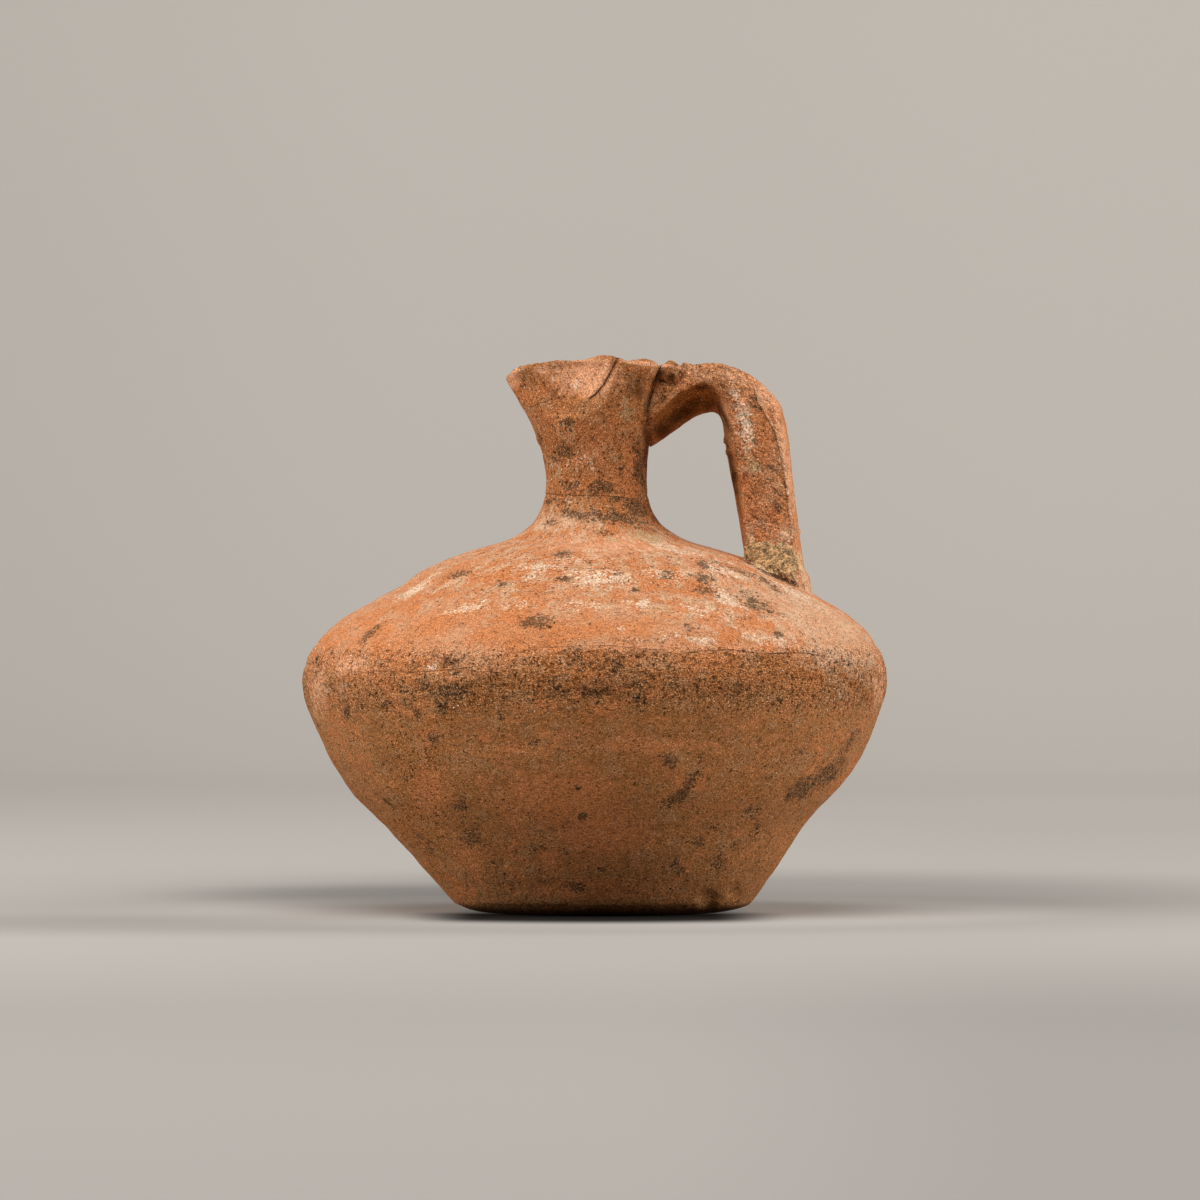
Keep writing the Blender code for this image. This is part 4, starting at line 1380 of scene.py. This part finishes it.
def laid_over(base, coat, share):
    """One colour over another, as far as the share says."""
    made = node(share.tree, "ShaderNodeMix", {0: share}, data_type="RGBA")
    for entry, value in ((made.inputs[MIX_BASE], base), (made.inputs[MIX_COAT], coat)):
        plug(entry, value if isinstance(value, Wire) else (*value, 1.0))
    return Wire(made.outputs[MIX_RESULT])


def flat_colour(tree, tint):
    """One plain colour."""
    plain = node(tree, "ShaderNodeRGB")
    plain.outputs[0].default_value = (*tint, 1.0)
    return Wire(plain.outputs[0])


def matt_material(name, shine):
    """A new material with a little shine, its shader, and the place on the piece."""
    material = bpy.data.materials.new(name)
    material.use_nodes = True
    shader = material.node_tree.nodes["Principled BSDF"]
    plug(shader.inputs["Specular IOR Level"], shine)
    return material, shader, result(material.node_tree, "ShaderNodeTexCoord", output="Object")


def wheel_place(place, around, upward):
    """A place measured along the wheel and upwards, so that a pattern on it runs round without a seam."""
    x, y, level = place.parts()
    ring = from_middle(x, y)
    return place_of(x / ring * around, y / ring * around, level * upward)


def clay_texture(place):
    """The noises, from broad clouds to fine dust, that the layers of the clay share."""
    return SimpleNamespace(
        cloud=noise(place, 30.0, 3.0, 0.6),
        mottle=noise(place, 130.0, 4.0, 0.65),
        streak=noise(wheel_place(place, 11.0, 260.0), 1.0, 3.0, 0.65),
        ragged=noise(place, 260.0, 4.0, 0.7) - 0.5,
        pock=noise(place, 560.0, 3.0, 0.7),
        fine=noise(place, 900.0, 3.0, 0.6) - 0.5,
        sand=noise(place, 1250.0, 3.0, 0.7),
        pin=spots(place, *PIN_PITS),
        dusting=noise(place, 2300.0, 2.0, 0.8),
        drag=noise(wheel_place(place, 40.0, 1450.0), 1.0, 3.0, 0.7),
    )


def bloomed_clay(colours, place, share, texture):
    """The clay's own colour, and the films of bloom, dust, lime and dried silt on it, with a warm brown that
    is partly painted shade and pale patches that are partly painted highlights.
    """
    level = place.parts()[2]
    lower = level.eased(*BROWN_WALL)
    upper = level.eased(*UPPER_WALL) * share.handle.rest()
    top = level.eased(*SHOULDER_TOP) * level.eased(*BELOW_NECK)
    cloud, mottle, streak, ragged = texture.cloud, texture.mottle, texture.streak, texture.ragged
    far = share.near.rest()

    mixed = (cloud * 0.4 + mottle * 0.4 + streak * 0.2).eased(0.40, 0.60)
    clay = laid_over(colours.ember, colours.salmon, mixed)
    dull = (mottle * 0.25 + streak * 0.5 + cloud * 0.25).eased(0.36, 0.56) * lower
    clay = laid_over(clay, colours.brown, dull * 0.9)
    # Warm brown over the lower wall, the neck and the marked patches: partly a brown film, partly painted
    # shade on parts that face down or away from the light
    painted_warm_shade = (lower * 0.6).at_least(level.eased(*NECK_FILM) * (share.handle * 0.8).rest()) * 0.6
    film = (share.umber + ragged * 1.5).eased(-0.3, 1.0) * 0.85
    film = (mottle * 0.5 + cloud * 0.5).eased(0.35, 0.60) * painted_warm_shade.at_least(film)
    # Just below the ledge, where the wall turns down, the brown comes in deeper: partly painted shade
    ledge = (share.ledge + ragged * 2.5).eased(-0.2, 1.0) * share.ledge.eased(17.0, 5.0)
    film = film.at_least(ledge * (share.near * 0.4 + 0.2) * (mottle + 0.4))
    clay = laid_over(clay, colours.umber, film)
    bloom = (streak * 0.6 + mottle * 0.4).eased(0.48, 0.62)
    clay = laid_over(clay, colours.buff, bloom * (upper * 0.5 + 0.25))
    # More warm brown on the neck, away from the pale patches: painted shade
    warm = level.eased(*NECK_WARMTH) * (share.handle * 0.5).rest() * share.pale.eased(0.5, -0.3)
    clay = laid_over(clay, colours.umber, warm * 0.26)
    glow = (share.ember + ragged * 2.0).eased(-0.2, 0.8)
    clay = laid_over(clay, colours.ember, glow * 0.85)
    # Pale rubbed clay, with painted highlights where the marks lie on lit places
    rubbed = (share.pale + ragged * 1.6).eased(-0.1, 0.6)
    clay = laid_over(clay, colours.pale, rubbed * 0.8)
    veil = (share.dust + ragged * 2.0 + (streak - 0.5) * 1.5).eased(-0.1, 0.8)
    clay = laid_over(clay, colours.dust, veil * (mottle * 1.6).math("MINIMUM", 1.0) * 0.75)
    silt = (share.olive + ragged * 3.0 + (streak - 0.5) * 1.5).eased(0.0, 0.8)
    clay = laid_over(clay, colours.olive, silt * 0.65)
    speckle = texture.sand - 0.5
    lime = (share.chalk + ragged * 4.2 + (streak - 0.5) * 3.0 + speckle * 3.0).eased(0.0, 0.8) * 0.56
    sprinkled = (streak * 0.4 + mottle * 0.3 + ragged * 0.3 + 0.15).eased(0.48, 0.64)
    sprinkled *= top * 0.5 + far * upper * 0.4 + 0.06
    clay = laid_over(clay, colours.chalk, lime.at_least(sprinkled))
    flakes = (share.chalk - 0.55 + ragged * 2.0 + speckle * 6.0).eased(0.0, 0.5) * 0.75
    return laid_over(clay, colours.grit, flakes)


def stained_clay(colours, place, share, clay, texture):
    """The clay with smoke stains, painted shade in the hollows, under the handle and at the foot, dark cracks
    of dirt and painted shade, and dried mud.
    """
    level = place.parts()[2]
    mottle, ragged, fine, grain = texture.mottle, texture.ragged, texture.fine, texture.dusting - 0.5
    halo = (share.soot + ragged * 1.8).eased(-0.6, 0.6) * 0.22
    smoke = (share.soot + ragged * 4.0 + fine * 4.6 + grain * 1.0 - 0.14).eased(0.0, 0.08) * 0.84
    blown = (texture.streak * 0.55 + mottle * 0.45).eased(0.58, 0.66)
    smoke = smoke.at_least(halo).at_least(blown * share.near.rest(0.9) * 0.7)
    clay = laid_over(clay, colours.soot, smoke)
    # Painted shade: under the handle, in the right lobe and the curl's hollow, beside the neck and the
    # handle, and along the belly
    gloom = (share.gloom + ragged * 1.2).eased(-0.3, 0.9) * 0.85
    # Painted shade on the foot's underside, darker towards the floor
    painted_foot_shade = (level + fine * 0.0012).eased(WORN_EDGE_LEVEL, WORN_EDGE_LEVEL - FOOT_SHADE)
    # Painted shade under the handle's lower edge: warm brown, then darker close to the edge
    below = (share.under + ragged * 1.5).eased(-0.1, 0.7) * share.under_reach
    clay = laid_over(clay, colours.umber, below * 0.9)
    below *= share.under.eased(5.0, 0.0) * 0.42 * (mottle + 0.5)
    gloom = gloom.at_least(painted_foot_shade * 0.95).at_least(below)
    clay = laid_over(clay, colours.shade, gloom)
    # Dark lines in the cracks, creases and wheel lines: dirt, with painted shade
    held = (share.crack_reach * 1.5 + ragged * 4.0 + fine * 1.5 - 0.25).within(0.0, 1.0)
    wander = (share.crack + ragged * 3.5 + fine * 2.0).unsigned()
    crack = wander.eased(1.0, 0.3) * held * share.crack_reach.eased(0.0, 0.15)
    clay = laid_over(clay, colours.shade, crack * 0.85)
    bare = (share.ridge + 0.5).unsigned().eased(0.9, 0.3) * share.ridge_reach
    clay = laid_over(clay, colours.chalk, bare * (fine * 6.0).eased(-0.5, 0.5) * 0.8)
    # Painted shadow beside the ridge on the handle
    tucked_painted_shadow = (share.ridge - 0.8).unsigned().eased(0.9, 0.2) * share.ridge_reach
    clay = laid_over(clay, colours.shade, tucked_painted_shadow * 0.5)
    soil = (share.earth + ragged * 2.4 + (mottle - 0.5) * 3.0).eased(-0.1, 0.3)
    clay = laid_over(clay, colours.earth, soil * 0.9)
    # Painted shade in the gaps of the dried mud
    clay = laid_over(clay, colours.shade, texture.pock.eased(0.52, 0.64) * soil * 0.75)
    return laid_over(clay, colours.brown, share.inside * 0.6), soil, gloom


def pitted_clay(colours, share, texture, clay, dense, fleck, soil, gloom, level):
    """The clay with its dark pits, large and small, and the pale grains between them."""
    handle, shut = share.handle, dense.rest()
    small = (fleck - shut * 0.085).eased(0.560, 0.600)
    large = (texture.pock - shut * 0.10).eased(0.592, 0.625) * (handle * 0.7).rest()
    pin = (texture.pin + (texture.sand - 0.5) * 1.2 + dense * 0.5).eased(0.74, 0.82)
    pin *= handle.rest() * level.eased(*BELOW_RIM)
    smooth = ((share.pale + texture.ragged).eased(-0.2, 0.4) * 0.7).at_least(handle * 0.5)
    pits = small.at_least(large).at_least(pin) * (soil * 0.6).rest() * smooth.rest()
    grains = (texture.dusting + dense * 0.03).eased(0.595, 0.645)
    clay = laid_over(clay, colours.shade, pits * 0.76)
    return laid_over(clay, colours.pale, grains * pits.rest() * gloom.rest() * (dense * 0.3 + 0.35))


def fired_clay(colours):
    """Unglazed red clay with bloom, lime, smoke stains, pits and dried earth, and painted shade and
    highlights.
    """
    material, shader, place = matt_material("fired_clay", 0.08)
    lines = [line + end for line in ("crack", "ridge", "fold", "under") for end in ("", "_reach")]
    names = ("near", "worn", "inside", "handle", "ledge", *STAINS_AND_PAINTED_LIGHT, *lines)
    share = SimpleNamespace(**{
        name: result(place.tree, "ShaderNodeAttribute", output="Fac", attribute_name=name) for name in names})
    texture = clay_texture(place)
    clay = bloomed_clay(colours, place, share, texture)
    clay, soil, gloom = stained_clay(colours, place, share, clay, texture)

    x, y, level = place.parts()
    worn, sand, dusting, drag = share.worn, texture.sand, texture.dusting, texture.drag
    band = share.ledge.eased(-0.5, 1.0) * share.ledge.eased(15.0, 5.0) * 0.18
    coarse = worn + level.eased(*SHOULDER_TOP) * 0.30 + band
    flanks = x.unsigned().eased(*FLANKS) * level.eased(*FLANK_PITS) * 0.22
    clustered = share.soot.eased(-1.4, 0.3) * (level.eased(*STAIN_PITS) * 0.35 + 0.10)
    dense = (coarse + flanks + clustered + (texture.mottle - 0.5) * 1.1).within(0.0, 1.0)
    along = x * TEAR_RUN[0] + level * TEAR_RUN[1]
    across = x * -TEAR_RUN[1] + level * TEAR_RUN[0]
    torn = noise(place_of(along * 0.7, y, across * 2.6), 330.0, 4.0, 0.75)
    on_face = share.handle * (worn - 0.25).at_least(0.0)
    fleck = drag * share.handle.rest() + (torn - 0.055) * share.handle
    clay = pitted_clay(colours, share, texture, clay, dense, fleck, soil, gloom, level)
    tone = (sand - 0.5) * (worn * 1.3 + 0.7) + (dusting - 0.5) * (worn * 2.4 + 1.8) + 1.0
    tone += (drag - 0.5) * share.handle.rest() * (worn * 2.2 + 1.2)
    tone += (torn - 0.46) * on_face * 4.0
    plug(shader.inputs["Base Color"], clay.scaled(tone.at_least(0.2)))
    plug(shader.inputs["Roughness"], texture.mottle * 0.12 + 0.84)

    sunk = (texture.pock + coarse * 0.10).eased(0.660, 0.720) * (worn * 0.5 + 0.45)
    height = sand * (worn * 0.8 + 0.55) - sunk
    height -= share.crack.unsigned().eased(1.2, 0.3) * share.crack_reach * 1.2
    height += torn * on_face * 3.0 + share.fold.eased(-0.6, 0.6) * share.fold_reach * 1.3
    height += share.ridge.eased(0.8, -0.8) * share.ridge_reach * 1.2
    bump = {"Height": height, "Distance": BUMP_DEPTH, "Strength": 1.0}
    plug(shader.inputs["Normal"], result(place.tree, "ShaderNodeBump", bump))
    return material


def finished(piece, material):
    """Gives a plain piece its one material, and lets it ride with the jug."""
    piece.data.materials.clear()
    piece.data.materials.append(material)
    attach(piece, BODY)


class JUG_OT_throw_body(bpy.types.Operator):
    """Throw the jug, join its handle and wear its skin"""

    bl_idname = "jug.throw_body"
    bl_label = "Throw Body"

    def execute(self, context):
        relief = context.scene.jug_relief
        clay = fired_clay(context.scene.clay_colours)
        wheel = throwing_tree()
        jug = thrown("thrown_jug", jug_profile(), relief.turns, clay, wheel)
        core = thrown("wall_core", core_profile(), relief.turns // 4, clay, wheel)
        for part in (handle_strap(), root_curl()):
            combine(part, core, "DIFFERENCE")
            combine(jug, part, "UNION")
            bpy.data.objects.remove(part)
        bpy.data.objects.remove(core)
        soften_landing(jug.data)
        points, normals = points_of(jug.data)
        inside = inside_share(points, normals)
        handle, _, through = handle_place(points)
        carried(jug.data, "inside", inside)
        carried(jug.data, "handle", handle)
        carried(jug.data, "worn", worn_share(points, handle, through, inside))
        carried(jug.data, "carve", carving(points, normals))
        run_tree(jug, wear_tree(), {
            "Material": clay, **{name.title(): getattr(relief, name) for name in WEAR}})
        triangles = sum(len(face.vertices) - 2 for face in jug.data.polygons)
        if triangles > relief.triangles:
            thin = jug.modifiers.new("thin", "DECIMATE")
            thin.ratio = relief.triangles / triangles
            settle(jug)
        carry_stains_and_shades(jug.data)
        jug.data.shade_smooth()
        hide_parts(FRAME_NODE)
        finished(jug, clay)
        return {"FINISHED"}


def dry_grain(name, tint):
    """Dry matt grains, each a little lighter or darker than the next."""
    material, shader, place = matt_material(name, 0.15)
    tone = ((noise(place, 520.0, 4.0, 0.75) - 0.5) * 4.0 + 0.85).within(0.12, 1.25)
    plug(shader.inputs["Base Color"], flat_colour(place.tree, tint).scaled(tone))
    plug(shader.inputs["Roughness"], 0.95)
    return material


class JUG_OT_strew_grains(bpy.types.Operator):
    """Strew dried earth round the handle's foot and show pale temper in the wall"""

    bl_idname = "jug.strew_grains"
    bl_label = "Strew Grains"

    def execute(self, context):
        relief = context.scene.jug_relief
        colours = context.scene.clay_colours
        skin = bpy.data.objects.get("thrown_jug")
        if skin is None:
            raise RuntimeError("Throw the body first")
        tree = scattering_tree()
        muddy = face_values(skin.data, "earth") > MUDDY_FROM
        strewn(
            "burial_earth", skin, muddy, tree, dry_grain("dried_earth", colours.earth),
            relief.crumbs, relief.crumb_size, squash=0.7, seed=3)
        levels = np.array([face.center.z for face in skin.data.polygons])
        outside = (face_values(skin.data, "inside") < OUTSIDE_UP_TO) & (levels > WORN_EDGE_LEVEL)
        gritty = outside & (face_values(skin.data, "worn") > GRITTY_FROM)
        strewn(
            "temper_grit", skin, gritty, tree, dry_grain("pale_temper", colours.grit),
            relief.grit, relief.grit_size, squash=0.8, seed=7)
        return {"FINISHED"}


def soft_oval(x, y, middle, half_sizes, darkest):
    """1 in the middle of a soft oval on the floor, and 0 outside it."""
    across, along = (x - middle[0]) / half_sizes[0], (y - middle[1]) / half_sizes[1]
    return from_middle(across, along).eased(1.0, darkest)


def sweep_material(tint, glow):
    """Matt warm-grey paper, with painted shadows close round the jug and a painted glow of its own away from
    it.
    """
    material, shader, place = matt_material("studio_paper", 0.1)
    material.cycles.emission_sampling = "NONE"
    x, y, _ = place.parts()
    away, nearer = from_middle(x, y), y * -1.0
    paper = flat_colour(place.tree, tint)
    rightwards = (x / (y - CAMERA_EYE.y)).eased(0.0, 0.07)
    # Painted contact shadow on the floor just in front of the foot
    tucked_painted_shadow = away.eased(0.120, 0.075) * nearer.eased(0.0, 0.03) * x.unsigned().eased(0.066, 0.038)

    tone = noise(place, 1.3, 1.0) * 0.06 + 0.97
    # Painted shade: the paper is darker towards the viewer, a little more so on the right
    tone *= (nearer.eased(0.1, 0.7) * (rightwards * 0.08 + 0.41)).rest()
    # Painted soft shadows round and behind the jug
    for middle, half_sizes, darkest, dark in SHADES:
        tone *= (soft_oval(x, y, middle, half_sizes, darkest) * dark).rest()
    tone *= (tucked_painted_shadow * SHADE_UNDER_FOOT).rest()
    plug(shader.inputs["Base Color"], paper.scaled(tone))

    # Painted light: the paper glows with light of its own, more of it away from the jug
    close, wide, far, wall = (away.eased(start, end) * strength for start, end, strength in GLOWS)
    painted_glow = close + wide + far + wall
    # The painted glow is a little dimmer on the left, and on the right at a middle distance
    painted_glow *= (x.eased(-0.10, -0.60) * 0.12).rest()
    painted_glow *= (rightwards * away.eased(0.2, 0.5) * away.eased(1.6, 0.9) * 0.12).rest()
    # Painted light close round the jug, brighter to the right and kept out of the painted contact shadow, and
    # a little more far off to the right
    painted_shadow_lift = x.eased(-0.10, 0.04) * 0.25 + 0.24
    painted_glow += rightwards * away.eased(1.1, 1.8) * 0.05 + away.eased(0.18, 0.10) * tucked_painted_shadow.rest() * painted_shadow_lift
    plug(shader.inputs["Emission Color"], paper)
    plug(shader.inputs["Emission Strength"], painted_glow * glow)
    plug(shader.inputs["Roughness"], 0.9)
    return material


def studio_sweep(tint, glow):
    """The floor, and the wall that rises from it in a wide bend all round."""
    wall = FLOOR_RADIUS + SWEEP_BEND
    rising = bend((FLOOR_RADIUS, 0.0), 0.0, (wall, SWEEP_BEND), 90.0, BEND_FACETS)
    sweep = linked("studio_sweep", outline_mesh("studio_sweep", [(0.0, 0.0), *rising, (wall, SWEEP_HEIGHT)]))
    screw = sweep.modifiers.new("turn", "SCREW")
    screw.steps = SWEEP_SIDES
    screw.render_steps = SWEEP_SIDES
    screw.use_merge_vertices = True
    screw.merge_threshold = SWEEP_WELD
    screw.use_normal_flip = True
    settle(sweep)
    sweep.data.materials.append(sweep_material(tint, glow))
    sweep.data.shade_smooth()


def softbox(name, place, size, power):
    """A square light that faces the jug and doesn't show itself."""
    light = bpy.data.lights.new(name, "AREA")
    light.size = size
    light.energy = power
    lamp = bpy.data.objects.new(name, light)
    lamp.location = place
    lamp.rotation_euler = (CAMERA_AIM - Vector(place)).to_track_quat("-Z", "Y").to_euler()
    lamp.visible_camera = False
    bpy.context.scene.collection.objects.link(lamp)


class JUG_OT_light_studio(bpy.types.Operator):
    """Set up the floor, the soft lights and the camera"""

    bl_idname = "jug.light_studio"
    bl_label = "Light Studio"

    def execute(self, context):
        scene = context.scene
        studio = scene.jug_studio
        studio_sweep(studio.sweep, studio.glow)
        for name, place, size, setting in LIGHTS:
            softbox(name, place, size, getattr(studio, setting))
        world = bpy.data.worlds.new("studio_air")
        world.use_nodes = True
        background = world.node_tree.nodes["Background"]
        background.inputs["Color"].default_value = (*AIR_COLOUR, 1.0)
        background.inputs["Strength"].default_value = studio.ambient
        scene.world = world
        scene.view_settings.view_transform = "Standard"
        lens = bpy.data.cameras.new("view")
        lens.sensor_width = SENSOR * MILLIMETRES
        lens.lens = lens.sensor_width * (CAMERA_AIM - CAMERA_EYE).length / FIELD
        lens.clip_start, lens.clip_end = CLIP
        camera = bpy.data.objects.new("view", lens)
        camera.location = CAMERA_EYE
        camera.rotation_euler = (CAMERA_AIM - CAMERA_EYE).to_track_quat("-Z", "Y").to_euler()
        scene.collection.objects.link(camera)
        scene.camera = camera
        return {"FINISHED"}


class JUG_PT_maker(bpy.types.Panel):
    """Lists the jug's making steps and their sizes"""

    bl_label = "Trefoil-Rim Jug"
    bl_idname = "JUG_PT_maker"
    bl_space_type = "VIEW_3D"
    bl_region_type = "UI"
    bl_category = "Jug"

    def draw(self, context):
        for step, group in STEPS:
            self.layout.operator(step.bl_idname)
            settings = getattr(context.scene, group)
            for name in settings.bl_rna.properties.keys():
                if name not in ("rna_type", "name"):
                    self.layout.prop(settings, name)


STEPS = (
    (JUG_OT_throw_body, "jug_relief"),
    (JUG_OT_strew_grains, "clay_colours"),
    (JUG_OT_light_studio, "jug_studio"),
)
GROUPS = {"jug_relief": JugRelief, "clay_colours": ClayColours, "jug_studio": StudioSettings}


def register():
    """Makes the settings, the steps and the panel known."""
    for name, group in GROUPS.items():
        bpy.utils.register_class(group)
        setattr(bpy.types.Scene, name, bpy.props.PointerProperty(type=group))
    for step, _ in STEPS:
        bpy.utils.register_class(step)
    bpy.utils.register_class(JUG_PT_maker)


def unregister():
    """Takes them all away again."""
    bpy.utils.unregister_class(JUG_PT_maker)
    for step, _ in STEPS:
        bpy.utils.unregister_class(step)
    for name, group in GROUPS.items():
        delattr(bpy.types.Scene, name)
        bpy.utils.unregister_class(group)


def main():
    """Makes the jug and its stage."""
    register()
    bpy.ops.jug.throw_body()
    bpy.ops.jug.strew_grains()
    bpy.ops.jug.light_studio()


if __name__ == "__main__":
    main()
